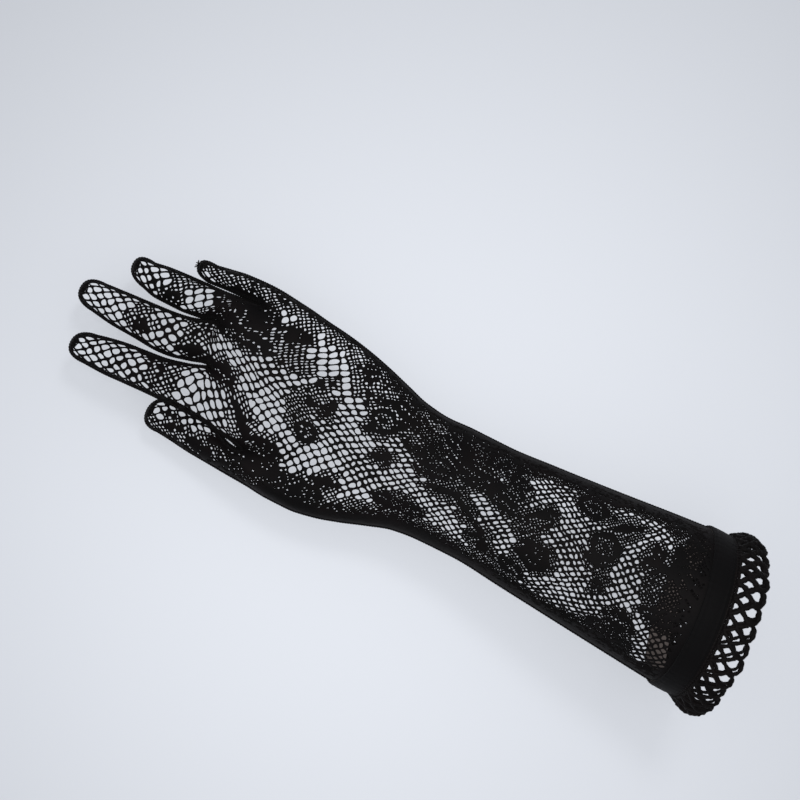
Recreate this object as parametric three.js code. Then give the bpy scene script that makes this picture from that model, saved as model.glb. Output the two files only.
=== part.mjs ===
// A long lace mesh glove for a right hand, held in the form of the worn hand and arm.
// Millimetres. +X runs from the cuff to the fingertips, +Z is up from the back of the hand,
// +Y is the thumb side. The origin is the middle of the elastic band's ring.
import * as THREE from 'three';

// Cloth and seam
const WALL = 1.0;
const SEAM_RADIUS = 0.9;
const RIM_LIFT = 1.25; // each panel stops this far above or below the seam's middle line
const CROTCH_RADIUS = 1.1; // half the space between the seams of two digits at their crotch
const SEAM_SIDES = 6;

// Elastic band
const BAND_START = -3.4; // arm end of the band, measured like the stations below
const BAND_END = 6.6;
const BAND_HALF_WIDTH = 37.3;
const BAND_HALF_HEIGHT = 36.4;
const BAND_WALL = 1.9;
const BAND_STEPS = 36;
const PIECE_GAP = 0.35;

// Lace edging
const REPEATS = 34;
const EDGING_LENGTH = 13.2;
const EDGING_WALL = 1.3;
const EDGING_HALF_WIDTH = 36.3;
const EDGING_HALF_HEIGHT = 35.4;
const FLARE_OUT = 4.0; // the frill swells past the band, then turns in a little at its edge
const FLARE_UP = 3.2;
const FLARE_DOWN = 1.2;
const FLARE_TURN = 0.8;
const RUFFLE = 0.9;
const LONG_RUFFLES = 7;
const SHORT_RUFFLES = 12;

// The cuff is cut at a slant that dies out towards the wrist
const CUFF_SLANT = 0.095;
const SLANT_END = 130;

// The origin is the middle of the band, this far along from where the stations start
const ORIGIN_STATION = (BAND_START + BAND_END) / 2;

// Stations along the hand
const WARP_START = 140; // from here the rows begin to follow the knuckles
const THUMB_START = 165; // the thumb's own form begins
const THUMB_CROTCH = 218.2;
const FINGER_START = 221; // the fingers' own forms begin
const FINGER_CROTCH = 245;

// Share of the girth, from the little finger's edge to the thumb's, at each border of a digit
const SHARE = [0, 8 / 54, 18 / 54, 30 / 54, 42 / 54, 1];
const COLUMNS = [4, 4, 5, 5, 4];
const THUMB = 4;

// Place along the hand of the knuckle row, by share of the girth
const KNUCKLE_ROW = [
  { at: 0, x: 236 },
  { at: 8 / 54, x: 238 },
  { at: 18 / 54, x: 251 },
  { at: 30 / 54, x: 244.5 },
  { at: 42 / 54, x: 240 },
  { at: 1, x: 240 },
];

// Edges of the outline, each with its place across (y) and its height (z) along the hand
const LITTLE_OUTER = [
  { at: 0, y: -36.3, z: 0 },
  { at: 20, y: -34.6, z: -1.5 },
  { at: 50, y: -31.9, z: -5 },
  { at: 80, y: -29.6, z: -9 },
  { at: 104, y: -28.1, z: -12 },
  { at: 122, y: -28.1, z: -13.5 },
  { at: 134, y: -27.5, z: -14.1 },
  { at: 146, y: -28.8, z: -14.6 },
  { at: 158, y: -32.2, z: -15 },
  { at: 170, y: -35.7, z: -15 },
  { at: 182, y: -38.6, z: -15 },
  { at: 194, y: -40.7, z: -15 },
  { at: 206, y: -42.1, z: -15 },
  { at: 218, y: -43.7, z: -15.2 },
  { at: 236, y: -44.8, z: -15.5 },
  { at: 250, y: -44.7, z: -18 },
  { at: 258, y: -43.7, z: -19.2 },
  { at: 266, y: -42.3, z: -20 },
];
const THUMB_OUTER = [
  { at: 0, y: 36.0, z: 0 },
  { at: 20, y: 34.5, z: -1.5 },
  { at: 50, y: 32.1, z: -5 },
  { at: 80, y: 29.6, z: -9 },
  { at: 104, y: 27.7, z: -12 },
  { at: 122, y: 28.1, z: -13.5 },
  { at: 134, y: 29.5, z: -14.2 },
  { at: 146, y: 33.4, z: -14.8 },
  { at: 158, y: 37.8, z: -15.5 },
  { at: 170, y: 41.4, z: -17 },
  { at: 182, y: 43.4, z: -19 },
  { at: 194, y: 43.6, z: -21 },
  { at: 206, y: 42.7, z: -23 },
  { at: 214, y: 42.4, z: -24.4 },
  { at: 236, y: 41.7, z: -26.6 },
  { at: 248, y: 40.6, z: -27.3 },
  { at: 255, y: 40.1, z: -27.5 },
];
const LITTLE_INNER = [
  { at: 212, y: -32.2, z: -14 },
  { at: 238, y: -35.1, z: -16 },
  { at: 246, y: -34.4, z: -18 },
  { at: 256, y: -33.6, z: -19.5 },
  { at: 266, y: -32.8, z: -20.5 },
];
const RING_LOWER = [
  { at: 212, y: -32.2, z: -14 },
  { at: 238, y: -35.1, z: -16 },
  { at: 246, y: -34.4, z: -16 },
  { at: 256, y: -33.6, z: -16.2 },
  { at: 267, y: -33.1, z: -16.6 },
  { at: 284, y: -32.1, z: -18.5 },
  { at: 293, y: -30.8, z: -19.5 },
];
const RING_UPPER = [
  { at: 212, y: -20, z: -13 },
  { at: 251, y: -19.2, z: -15.5 },
  { at: 262, y: -15.5, z: -16.3 },
  { at: 272, y: -14.4, z: -17 },
  { at: 284, y: -14.5, z: -18.5 },
  { at: 293, y: -16.4, z: -19.5 },
];
const MIDDLE_LOWER = [
  { at: 212, y: -20, z: -13 },
  { at: 251, y: -19.2, z: -15.5 },
  { at: 262, y: -15.7, z: -16 },
  { at: 272, y: -13.9, z: -16.5 },
  { at: 284, y: -12.9, z: -17.4 },
  { at: 296, y: -12.1, z: -18.7 },
  { at: 309, y: -11.1, z: -20 },
];
const MIDDLE_UPPER = [
  { at: 212, y: 2.5, z: -13 },
  { at: 244.5, y: 1.8, z: -15.5 },
  { at: 255, y: 4.6, z: -15.8 },
  { at: 266, y: 7.2, z: -16.2 },
  { at: 272, y: 7.6, z: -16.5 },
  { at: 284, y: 6.9, z: -17.4 },
  { at: 296, y: 6.4, z: -18.7 },
  { at: 309, y: 4.8, z: -20 },
];
const INDEX_LOWER = [
  { at: 212, y: 2.5, z: -13 },
  { at: 244.5, y: 1.8, z: -15.5 },
  { at: 255, y: 4.8, z: -15.8 },
  { at: 266, y: 7.4, z: -16.2 },
  { at: 278, y: 8.7, z: -17 },
  { at: 284, y: 9.3, z: -17.6 },
  { at: 296, y: 11.4, z: -19 },
  { at: 300, y: 12.4, z: -19.5 },
];
const INDEX_OUTER = [
  { at: 150, y: 25, z: -15 },
  { at: 185, y: 30, z: -17 },
  { at: 200, y: 30.3, z: -18.5 },
  { at: 214, y: 29.8, z: -19.8 },
  { at: 222, y: 28.0, z: -18.4 },
  { at: 230, y: 26.6, z: -17.3 },
  { at: 244, y: 25.9, z: -16 },
  { at: 262, y: 26.2, z: -16.2 },
  { at: 278, y: 27.0, z: -17.2 },
  { at: 290, y: 27.6, z: -18.4 },
  { at: 300, y: 27.4, z: -19.5 },
];
const THUMB_INNER = [
  { at: 150, y: 25, z: -15 },
  { at: 185, y: 30, z: -17 },
  { at: 200, y: 30.3, z: -18.5 },
  { at: 214, y: 29.8, z: -19.8 },
  { at: 222, y: 29.2, z: -22.8 },
  { at: 230, y: 27.0, z: -25.5 },
  { at: 240, y: 24.6, z: -26.8 },
  { at: 255, y: 23.9, z: -27.5 },
];

// Height of the cloth above and below the line of the seam
const WHOLE_HEIGHT = [
  { at: 0, up: 35.4, down: 35.4 },
  { at: 30, up: 33.3, down: 33.3 },
  { at: 60, up: 29.5, down: 29.5 },
  { at: 85, up: 25.4, down: 25.8 },
  { at: 104, up: 22.5, down: 23 },
  { at: 122, up: 20.5, down: 21 },
  { at: 140, up: 18.5, down: 20 },
  { at: 160, up: 16.5, down: 19 },
  { at: 185, up: 15, down: 17.5 },
  { at: 214, up: 14, down: 15 },
];
const PALM_HEIGHT = [
  { at: 150, up: 16, down: 18 },
  { at: 185, up: 14.5, down: 16 },
  { at: 214, up: 13.5, down: 14 },
  { at: 236, up: 12.5, down: 12.5 },
  { at: 251, up: 12, down: 11.5 },
];

// Each digit: the share borders it lies between, its edges, its half height along it,
// where its rounded tip starts, how long that tip is and how far it leans to the thumb side
const DIGITS = [
  {
    name: 'little',
    low: LITTLE_OUTER,
    high: LITTLE_INNER,
    height: [{ at: 212, h: 9 }, { at: 238, h: 8 }, { at: 250, h: 7 }, { at: 266, h: 6.4 }],
    tipStart: 266.4,
    tipLength: 7.6,
    tipLean: -0.9,
  },
  {
    name: 'ring',
    low: RING_LOWER,
    high: RING_UPPER,
    height: [{ at: 212, h: 10.5 }, { at: 245, h: 9.6 }, { at: 262, h: 8.5 }, { at: 293, h: 7.6 }],
    tipStart: 293,
    tipLength: 8.8,
    tipLean: -1.6,
  },
  {
    name: 'middle',
    low: MIDDLE_LOWER,
    high: MIDDLE_UPPER,
    height: [{ at: 212, h: 12 }, { at: 248, h: 10.8 }, { at: 265, h: 9.2 }, { at: 309, h: 7.9 }],
    tipStart: 309,
    tipLength: 9.6,
    tipLean: -0.4,
  },
  {
    name: 'index',
    low: INDEX_LOWER,
    high: INDEX_OUTER,
    height: [{ at: 212, h: 12 }, { at: 242, h: 10.8 }, { at: 262, h: 9.2 }, { at: 300, h: 7.9 }],
    tipStart: 300,
    tipLength: 9.6,
    tipLean: 0.8,
  },
  {
    name: 'thumb',
    low: THUMB_INNER,
    high: THUMB_OUTER,
    height: [{ at: 150, h: 16 }, { at: 200, h: 12.5 }, { at: 214, h: 10.4 }, { at: 230, h: 9.2 },
      { at: 255, h: 8.5 }],
    tipStart: 255,
    tipLength: 8.8,
    tipLean: 1.2,
  },
];
const TIP_DROP = 1.0;
const TIP_BLUNTNESS = 0.65;

// Rows of the cloth: along the arm and hand, along a digit, and round its tip in degrees
const ARM_ROWS = [BAND_END + PIECE_GAP, 28, 52, 76, 98, 116, 130, 142, 153, 164, 175, 186, 197, 206, 212, 216, 218.2];
const KNUCKLE_ROWS = [223, 229, 234.5, 239, 242.5, 244.4, 245];
const DIGIT_ROWS = [0.016, 0.042, 0.14, 0.32, 0.54, 0.77, 1];
const TIP_ROWS = [28, 55, 76, 90];

// Colours and finishes
const YARN = { color: 0x0b0a0c, roughness: 0.85, metalness: 0 };
const ELASTIC = { color: 0x08080a, roughness: 0.75, metalness: 0 };

function mix(a, b, t) {
  return a + (b - a) * t;
}

function ease(t) {
  const u = Math.min(1, Math.max(0, t));
  return u * u * (3 - 2 * u);
}

// Slopes for a curve through table rows that never overshoots them
function slopesOf(rows, key) {
  const steps = [];
  for (let i = 0; i + 1 < rows.length; i += 1) {
    steps.push((rows[i + 1][key] - rows[i][key]) / (rows[i + 1].at - rows[i].at));
  }
  return rows.map((row, i) => {
    if (i === 0) {
      return steps[0];
    }
    if (i === rows.length - 1) {
      return steps[i - 1];
    }
    const before = steps[i - 1];
    const after = steps[i];
    return before * after <= 0 ? 0 : (2 * before * after) / (before + after);
  });
}

// The value of one column of a table at a place between its rows
function look(rows, key, at) {
  const last = rows.length - 1;
  if (at <= rows[0].at) {
    return rows[0][key];
  }
  if (at >= rows[last].at) {
    return rows[last][key];
  }
  let i = 0;
  while (rows[i + 1].at < at) {
    i += 1;
  }
  const slopes = slopesOf(rows, key);
  const width = rows[i + 1].at - rows[i].at;
  const t = (at - rows[i].at) / width;
  const fromLeft = (1 + 2 * t) * (1 - t) * (1 - t) * rows[i][key];
  const fromRight = t * t * (3 - 2 * t) * rows[i + 1][key];
  const leftSlope = t * (1 - t) * (1 - t) * width * slopes[i];
  const rightSlope = t * t * (t - 1) * width * slopes[i + 1];
  return fromLeft + fromRight + leftSlope + rightSlope;
}

// Distance along the hand of a row at a share of the girth
function alongHand(row, share) {
  const pull = ease((row - WARP_START) / (FINGER_CROTCH - WARP_START));
  return row + (look(KNUCKLE_ROW, 'x', share) - FINGER_CROTCH) * pull;
}

// Half the space between two digits, which opens in a quarter circle from their crotch
function spread(x, crotch, fade) {
  const d = Math.min(1, Math.max(0, (x - crotch) / CROTCH_RADIUS));
  const open = CROTCH_RADIUS * Math.sqrt(1 - (1 - d) * (1 - d));
  return open * (1 - fade * ease((x - crotch - 3) / 12));
}

const THUMB_CROTCH_X = alongHand(THUMB_CROTCH, SHARE[THUMB]);

// The edge of a digit nearer the little finger
function lowEdge(digit, x) {
  const table = DIGITS[digit].low;
  let shift = 0;
  if (digit === THUMB) {
    shift = spread(x, THUMB_CROTCH_X, 1);
  } else if (digit > 0) {
    shift = spread(x, alongHand(FINGER_CROTCH, SHARE[digit]), 0);
  }
  return { x, y: look(table, 'y', x) + shift, z: look(table, 'z', x) };
}

// The edge of a digit nearer the thumb
function highEdge(digit, x) {
  const table = DIGITS[digit].high;
  let shift = 0;
  if (digit === THUMB - 1) {
    shift = spread(x, THUMB_CROTCH_X, 1);
  } else if (digit < THUMB - 1) {
    shift = spread(x, alongHand(FINGER_CROTCH, SHARE[digit + 1]), 0);
  }
  return { x, y: look(table, 'y', x) - shift, z: look(table, 'z', x) };
}

// A half oval between two edges: place across, height of its edge line, rise above that line
function halfOval(low, high, height, angle) {
  const across = (1 - Math.cos(angle)) / 2;
  return {
    y: mix(low.y, high.y, across),
    z: mix(low.z, high.z, across),
    rise: (height - RIM_LIFT) * Math.sin(angle),
  };
}

// The angle round a flat oval that keeps even steps along the cloth
function evenAngle(share, halfWidth, height) {
  const flatness = (halfWidth - height) / (halfWidth + height);
  return Math.PI * share + 0.5 * flatness * Math.sin(2 * Math.PI * share);
}

function mixPoint(a, b, t) {
  return { y: mix(a.y, b.y, t), z: mix(a.z, b.z, t), rise: mix(a.rise, b.rise, t) };
}

// How far a form has turned from one oval into separate ones, at a border between two of
// them and at an outer edge
function borderTurn(row, start, end) {
  const u = Math.min(1, Math.max(0, (row - start) / (end - start)));
  return 1 - Math.sqrt(1 - u * u);
}

function edgeTurn(row, start, end) {
  return ease((row - start) / (end - start));
}

// A point of the cloth on the arm or the hand, in the strip of one digit
function handPoint(row, digit, place, side) {
  const key = side > 0 ? 'up' : 'down';
  const share = mix(SHARE[digit], SHARE[digit + 1], place);
  const x = alongHand(row, share);
  const outerLow = lowEdge(0, alongHand(row, 0));
  const outerHigh = highEdge(THUMB, alongHand(row, 1));
  const swell = (1 - Math.cos(Math.PI * place)) / 2;

  const wholeHeight = look(WHOLE_HEIGHT, key, x);
  const wholeAngle = evenAngle(share, (outerHigh.y - outerLow.y) / 2, wholeHeight);
  const whole = halfOval(outerLow, outerHigh, wholeHeight, wholeAngle);
  const thumbBorder = borderTurn(row, THUMB_START, THUMB_CROTCH);
  const thumbEdge = edgeTurn(row, THUMB_START, THUMB_CROTCH);

  if (digit === THUMB) {
    const low = lowEdge(THUMB, alongHand(row, SHARE[THUMB]));
    const own = halfOval(low, outerHigh, look(DIGITS[THUMB].height, 'h', x), Math.PI * place);
    return { x, ...mixPoint(whole, own, mix(thumbBorder, thumbEdge, swell)) };
  }

  const palmHigh = highEdge(THUMB - 1, alongHand(row, SHARE[THUMB]));
  const palmShare = share / SHARE[THUMB];
  const palmHeight = look(PALM_HEIGHT, key, x);
  const palmAngle = evenAngle(palmShare, (palmHigh.y - outerLow.y) / 2, palmHeight);
  let palm = halfOval(outerLow, palmHigh, palmHeight, palmAngle);

  const fingerBorder = borderTurn(row, FINGER_START, FINGER_CROTCH);
  const fingerEdge = edgeTurn(row, FINGER_START, FINGER_CROTCH);
  const low = lowEdge(digit, alongHand(row, SHARE[digit]));
  const high = highEdge(digit, alongHand(row, SHARE[digit + 1]));
  const own = halfOval(low, high, look(DIGITS[digit].height, 'h', x), Math.PI * place);
  const lowTurn = digit === 0 ? fingerEdge : fingerBorder;
  const highTurn = digit === THUMB - 1 ? fingerEdge : fingerBorder;
  palm = mixPoint(palm, own, mix(lowTurn, highTurn, swell));

  const share01 = (1 - Math.cos(Math.PI * palmShare)) / 2;
  return { x, ...mixPoint(whole, palm, mix(thumbEdge, thumbBorder, share01)) };
}

// A point of the cloth on a digit, by how far along it is and how far round its tip
function digitPoint(digit, along, tipDegrees, place) {
  const { height, tipStart, tipLength, tipLean } = DIGITS[digit];
  const base = digit === THUMB ? THUMB_CROTCH : FINGER_CROTCH;
  const xLow = mix(alongHand(base, SHARE[digit]), tipStart, along);
  const xHigh = mix(alongHand(base, SHARE[digit + 1]), tipStart, along);
  const x = mix(alongHand(base, mix(SHARE[digit], SHARE[digit + 1], place)), tipStart, along);
  const point = halfOval(lowEdge(digit, xLow), highEdge(digit, xHigh), look(height, 'h', x),
    Math.PI * place);
  const turn = (tipDegrees * Math.PI) / 180;
  const width = Math.max(0, Math.cos(turn)) ** TIP_BLUNTNESS;
  const narrow = tipDegrees === 90 ? 0 : width;
  const middle = (lowEdge(digit, xLow).y + highEdge(digit, xHigh).y) / 2;
  return {
    x: x + tipLength * Math.sin(turn),
    y: middle + (point.y - middle) * narrow + tipLean * Math.sin(turn),
    z: point.z - TIP_DROP * Math.sin(turn),
    rise: point.rise * narrow,
  };
}

// The place in the glove's frame, with the slant of the cuff
function slanted(x, y, z) {
  return [x - ORIGIN_STATION - CUFF_SLANT * y * (1 - ease(x / SLANT_END)), y, z];
}

function clothPosition(point, side) {
  return slanted(point.x, point.y, point.z + side * (RIM_LIFT + point.rise));
}

function seamPosition(point) {
  return slanted(point.x, point.y, point.z);
}

// A closed mesh from a list of corner places and of triangles
function meshOf(name, places, triangles, finish) {
  const geometry = new THREE.BufferGeometry();
  geometry.setAttribute('position', new THREE.Float32BufferAttribute(places.flat(), 3));
  geometry.setIndex(triangles.flat());
  geometry.computeVertexNormals();
  const mesh = new THREE.Mesh(geometry, new THREE.MeshStandardMaterial(finish));
  mesh.name = name;
  return mesh;
}

// One panel: its outer face, the same face moved in by the wall, and a rim round the edges
function panel(name, side) {
  const places = [];
  const triangles = [];
  const add = (position) => places.push(position) - 1;
  const quad = (a, b, c, d) => {
    [[a, b, c], [a, c, d]].forEach((corners) => {
      const distinct = new Set(corners);
      if (distinct.size === 3) {
        triangles.push(side > 0 ? corners : [corners[0], corners[2], corners[1]]);
      }
    });
  };
  const join = (before, after) => {
    for (let i = 0; i + 1 < before.length; i += 1) {
      quad(before[i], after[i], after[i + 1], before[i + 1]);
    }
  };
  const stripRow = (row, digit, first) => {
    const out = [first];
    for (let j = 1; j <= COLUMNS[digit]; j += 1) {
      const point = handPoint(row, digit, j / COLUMNS[digit], side);
      out.push(add(clothPosition(point, side)));
    }
    return out;
  };
  const wholeRow = (row, digits) => {
    let next = add(clothPosition(handPoint(row, 0, 0, side), side));
    return digits.map((digit) => {
      const out = stripRow(row, digit, next);
      next = out[out.length - 1];
      return out;
    });
  };
  const finger = (digit, base) => {
    let before = base;
    const rows = [...DIGIT_ROWS.map((along) => [along, 0]), ...TIP_ROWS.map((turn) => [1, turn])];
    rows.forEach(([along, turn]) => {
      let after = [];
      for (let j = 0; j <= COLUMNS[digit]; j += 1) {
        const point = digitPoint(digit, along, turn, j / COLUMNS[digit]);
        if (turn === 90 && j > 0) {
          after.push(after[0]);
        } else if (turn === 90) {
          const tip = digitPoint(digit, along, turn, 0.5);
          after = [add(clothPosition(tip, side))];
        } else {
          after.push(add(clothPosition(point, side)));
        }
      }
      join(before, after);
      before = after;
    });
  };

  let before = wholeRow(ARM_ROWS[0], [0, 1, 2, 3, 4]);
  ARM_ROWS.slice(1).forEach((row) => {
    const after = wholeRow(row, [0, 1, 2, 3, 4]);
    after.forEach((strip, digit) => join(before[digit], strip));
    before = after;
  });
  finger(THUMB, before[THUMB]);
  KNUCKLE_ROWS.forEach((row) => {
    const after = wholeRow(row, [0, 1, 2, 3]);
    after.forEach((strip, digit) => join(before[digit], strip));
    before = after;
  });
  [0, 1, 2, 3].forEach((digit) => finger(digit, before[digit]));

  const outer = meshOf(name, places, triangles, YARN);
  const normals = outer.geometry.getAttribute('normal');
  const count = places.length;
  for (let i = 0; i < count; i += 1) {
    places.push([
      places[i][0] - WALL * normals.getX(i),
      places[i][1] - WALL * normals.getY(i),
      places[i][2] - WALL * normals.getZ(i),
    ]);
  }
  const faces = [...triangles];
  const open = new Map();
  triangles.forEach(([a, b, c]) => {
    faces.push([a + count, c + count, b + count]);
    [[a, b], [b, c], [c, a]].forEach(([from, to]) => {
      if (!open.delete(`${to},${from}`)) {
        open.set(`${from},${to}`, [from, to]);
      }
    });
  });
  open.forEach(([from, to]) => {
    faces.push([from, from + count, to + count], [from, to + count, to]);
  });
  return meshOf(name, places, faces, YARN);
}

// The line of the seam, from the band up the little finger's side, round every digit and
// back down the thumb's side to the band
function seamLine() {
  const line = [];
  const rows = [...DIGIT_ROWS.map((along) => [along, 0]), ...TIP_ROWS.map((turn) => [1, turn])];
  const down = [...rows].reverse().slice(1);
  [...ARM_ROWS, ...KNUCKLE_ROWS].forEach((row) => {
    line.push(seamPosition(handPoint(row, 0, 0, 1)));
  });
  [0, 1, 2, 3].forEach((digit) => {
    rows.forEach(([along, turn]) => line.push(seamPosition(digitPoint(digit, along, turn, 0))));
    down.forEach(([along, turn]) => line.push(seamPosition(digitPoint(digit, along, turn, 1))));
    line.push(seamPosition(handPoint(FINGER_CROTCH, digit, 1, 1)));
  });
  [...KNUCKLE_ROWS].reverse().slice(1).forEach((row) => {
    line.push(seamPosition(handPoint(row, THUMB - 1, 1, 1)));
  });
  line.push(seamPosition(handPoint(THUMB_CROTCH, THUMB, 0, 1)));
  rows.forEach(([along, turn]) => line.push(seamPosition(digitPoint(THUMB, along, turn, 0))));
  down.forEach(([along, turn]) => line.push(seamPosition(digitPoint(THUMB, along, turn, 1))));
  [...ARM_ROWS].reverse().forEach((row) => {
    line.push(seamPosition(handPoint(row, THUMB, 1, 1)));
  });
  return line.map((place) => new THREE.Vector3(...place));
}

// The seam as a round bead along its line
function edgeSeam() {
  const line = seamLine();
  const places = [];
  const triangles = [];
  const upright = new THREE.Vector3(0, 0, 1);
  line.forEach((place, i) => {
    const ahead = line[Math.min(i + 1, line.length - 1)].clone().sub(place);
    const behind = place.clone().sub(line[Math.max(i - 1, 0)]);
    const along = ahead.normalize().add(behind.normalize()).normalize();
    const across = new THREE.Vector3().crossVectors(along, upright).normalize();
    const up = new THREE.Vector3().crossVectors(across, along);
    for (let j = 0; j < SEAM_SIDES; j += 1) {
      const turn = (2 * Math.PI * j) / SEAM_SIDES;
      const corner = place.clone()
        .addScaledVector(across, SEAM_RADIUS * Math.cos(turn))
        .addScaledVector(up, SEAM_RADIUS * Math.sin(turn));
      places.push(corner.toArray());
    }
  });
  for (let i = 0; i + 1 < line.length; i += 1) {
    for (let j = 0; j < SEAM_SIDES; j += 1) {
      const a = i * SEAM_SIDES + j;
      const b = i * SEAM_SIDES + ((j + 1) % SEAM_SIDES);
      triangles.push([a, b, b + SEAM_SIDES], [a, b + SEAM_SIDES, a + SEAM_SIDES]);
    }
  }
  const end = (line.length - 1) * SEAM_SIDES;
  for (let j = 1; j + 1 < SEAM_SIDES; j += 1) {
    triangles.push([0, j + 1, j], [end, end + j, end + j + 1]);
  }
  return meshOf('edge_seam', places, triangles, YARN);
}

// A place on an oval ring round the arm
function ringPlace(x, turn, halfWidth, halfHeight) {
  return slanted(x, halfWidth * Math.cos(turn), halfHeight * Math.sin(turn));
}

// The elastic band: an oval ring with rounded corners
function cuffBand() {
  const soft = BAND_WALL * 0.3;
  const section = [
    { x: BAND_END - soft, out: 0 },
    { x: BAND_END, out: -soft },
    { x: BAND_END, out: -BAND_WALL },
    { x: BAND_START, out: -BAND_WALL },
    { x: BAND_START, out: -soft },
    { x: BAND_START + soft, out: 0 },
  ];
  const places = [];
  const triangles = [];
  for (let i = 0; i < BAND_STEPS; i += 1) {
    const turn = (2 * Math.PI * i) / BAND_STEPS;
    section.forEach(({ x, out }) => {
      places.push(ringPlace(x, turn, BAND_HALF_WIDTH + out, BAND_HALF_HEIGHT + out));
    });
  }
  const n = section.length;
  for (let i = 0; i < BAND_STEPS; i += 1) {
    const next = ((i + 1) % BAND_STEPS) * n;
    for (let j = 0; j < n; j += 1) {
      const k = (j + 1) % n;
      triangles.push([i * n + j, next + j, next + k], [i * n + j, next + k, i * n + k]);
    }
  }
  return meshOf('cuff_band', places, triangles, ELASTIC);
}

// One gap of the lace edging as a diamond, in repeats round and millimetres out
function diamond(round, out, halfRound, halfOut) {
  return [
    new THREE.Vector2(round, out - halfOut),
    new THREE.Vector2(round - halfRound, out),
    new THREE.Vector2(round, out + halfOut),
    new THREE.Vector2(round + halfRound, out),
  ];
}

// Rows of gaps in the edging: where in the repeat, how far out, and half sizes
const GAP_ROWS = [
  { round: 0.5, out: 3.0, halfRound: 0.37, halfOut: 2.2 },
  { round: 0.0, out: 6.1, halfRound: 0.38, halfOut: 2.2 },
  { round: 0.5, out: 9.9, halfRound: 0.33, halfOut: 2.05 },
];
// The outer scallop of one repeat
const SCALLOP = [
  { round: 0.0, out: 9.5 },
  { round: 0.22, out: 12.3 },
  { round: 0.5, out: EDGING_LENGTH },
  { round: 0.78, out: 12.3 },
];
// The line along the strands where one repeat meets the next
const REPEAT_SIDE = [
  { round: 0.0, out: 0.0 },
  { round: 0.0, out: 3.0 },
  { round: -0.5, out: 6.1 },
];

// The lace edging's form: a ring that flares and ruffles towards its outer edge
function edgingPlace(round, out, layer) {
  const turn = (2 * Math.PI * round) / REPEATS;
  const grow = out / EDGING_LENGTH;
  const flare = Math.sin(Math.PI * FLARE_TURN * grow);
  const wave = 0.6 * Math.sin(LONG_RUFFLES * turn) + 0.4 * Math.sin(SHORT_RUFFLES * turn + 1);
  const upward = Math.sin(turn) > 0 ? FLARE_UP : FLARE_DOWN;
  const lift = layer * EDGING_WALL * 0.5 + RUFFLE * wave * grow;
  const halfWidth = EDGING_HALF_WIDTH + FLARE_OUT * flare + lift;
  const halfHeight = EDGING_HALF_HEIGHT + upward * flare * Math.abs(Math.sin(turn)) + lift;
  return ringPlace(BAND_START - PIECE_GAP - out, turn, halfWidth, halfHeight);
}

function laceEdging() {
  const side = REPEAT_SIDE.map(({ round, out }) => new THREE.Vector2(round, out));
  const outline = [
    ...side.map((corner) => new THREE.Vector2(corner.x + 1, corner.y)),
    new THREE.Vector2(SCALLOP[0].round + 1, SCALLOP[0].out),
    ...[...SCALLOP].reverse().map(({ round, out }) => new THREE.Vector2(round, out)),
    ...[...side].reverse(),
  ];
  const holes = GAP_ROWS.map(({ round, out, halfRound, halfOut }) => (
    diamond(round, out, halfRound, halfOut)));
  const repeat = THREE.ShapeUtils.triangulateShape(outline, holes);
  const repeatCorners = [outline, ...holes].flat();
  const corners = [];
  const flat = [];
  for (let i = 0; i < REPEATS; i += 1) {
    const first = corners.length;
    repeatCorners.forEach(({ x, y }) => corners.push(new THREE.Vector2(x + i, y)));
    repeat.forEach((face) => flat.push(face.map((corner) => corner + first)));
  }

  // corners of neighbouring repeats that meet are one corner of the ring
  const found = new Map();
  const rings = corners.map(({ x, y }) => {
    const round = ((x % REPEATS) + REPEATS) % REPEATS;
    const key = `${round.toFixed(4)},${y.toFixed(4)}`;
    if (!found.has(key)) {
      found.set(key, { index: found.size, round, out: y });
    }
    return found.get(key).index;
  });
  const kept = [...found.values()];
  const count = kept.length;
  const places = [1, -1].flatMap((layer) => kept.map(({ round, out }) => (
    edgingPlace(round, out, layer))));
  const triangles = [];
  const open = new Map();
  flat.forEach((face) => {
    const [a, b, c] = face.map((corner) => rings[corner]);
    const [p, q, r] = face.map((corner) => corners[corner]);
    const area = (q.x - p.x) * (r.y - p.y) - (q.y - p.y) * (r.x - p.x);
    const turned = area > 0 ? [a, b, c] : [a, c, b];
    triangles.push(turned, [turned[0] + count, turned[2] + count, turned[1] + count]);
    [[0, 1], [1, 2], [2, 0]].forEach(([i, j]) => {
      const from = turned[i];
      const to = turned[j];
      if (!open.delete(`${to},${from}`)) {
        open.set(`${from},${to}`, [from, to]);
      }
    });
  });
  open.forEach(([from, to]) => {
    triangles.push([from, from + count, to + count], [from, to + count, to]);
  });
  return meshOf('lace_edging', places, triangles, YARN);
}

// Turns a mesh inside out when its faces look inwards
function facingOut(mesh) {
  const at = mesh.geometry.getAttribute('position');
  const index = mesh.geometry.getIndex();
  const corner = (i) => new THREE.Vector3().fromBufferAttribute(at, index.getX(i));
  let volume = 0;
  for (let i = 0; i < index.count; i += 3) {
    volume += corner(i).dot(corner(i + 1).cross(corner(i + 2))) / 6;
  }
  if (volume < 0) {
    for (let i = 0; i < index.count; i += 3) {
      const second = index.getX(i + 1);
      index.setX(i + 1, index.getX(i + 2));
      index.setX(i + 2, second);
    }
  }
  mesh.geometry.computeVertexNormals();
  return mesh;
}

const glove = new THREE.Group();
glove.name = 'mesh_glove';
glove.add(facingOut(panel('back_panel', 1)));
glove.add(facingOut(panel('palm_panel', -1)));
glove.add(facingOut(edgeSeam()));
glove.add(facingOut(cuffBand()));
glove.add(facingOut(laceEdging()));
export default glove;
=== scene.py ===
"""A long black lace mesh glove for a right hand, in its worn form, with open net and motifs."""

import bpy
import numpy as np
from mathutils import Matrix, Vector


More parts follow.
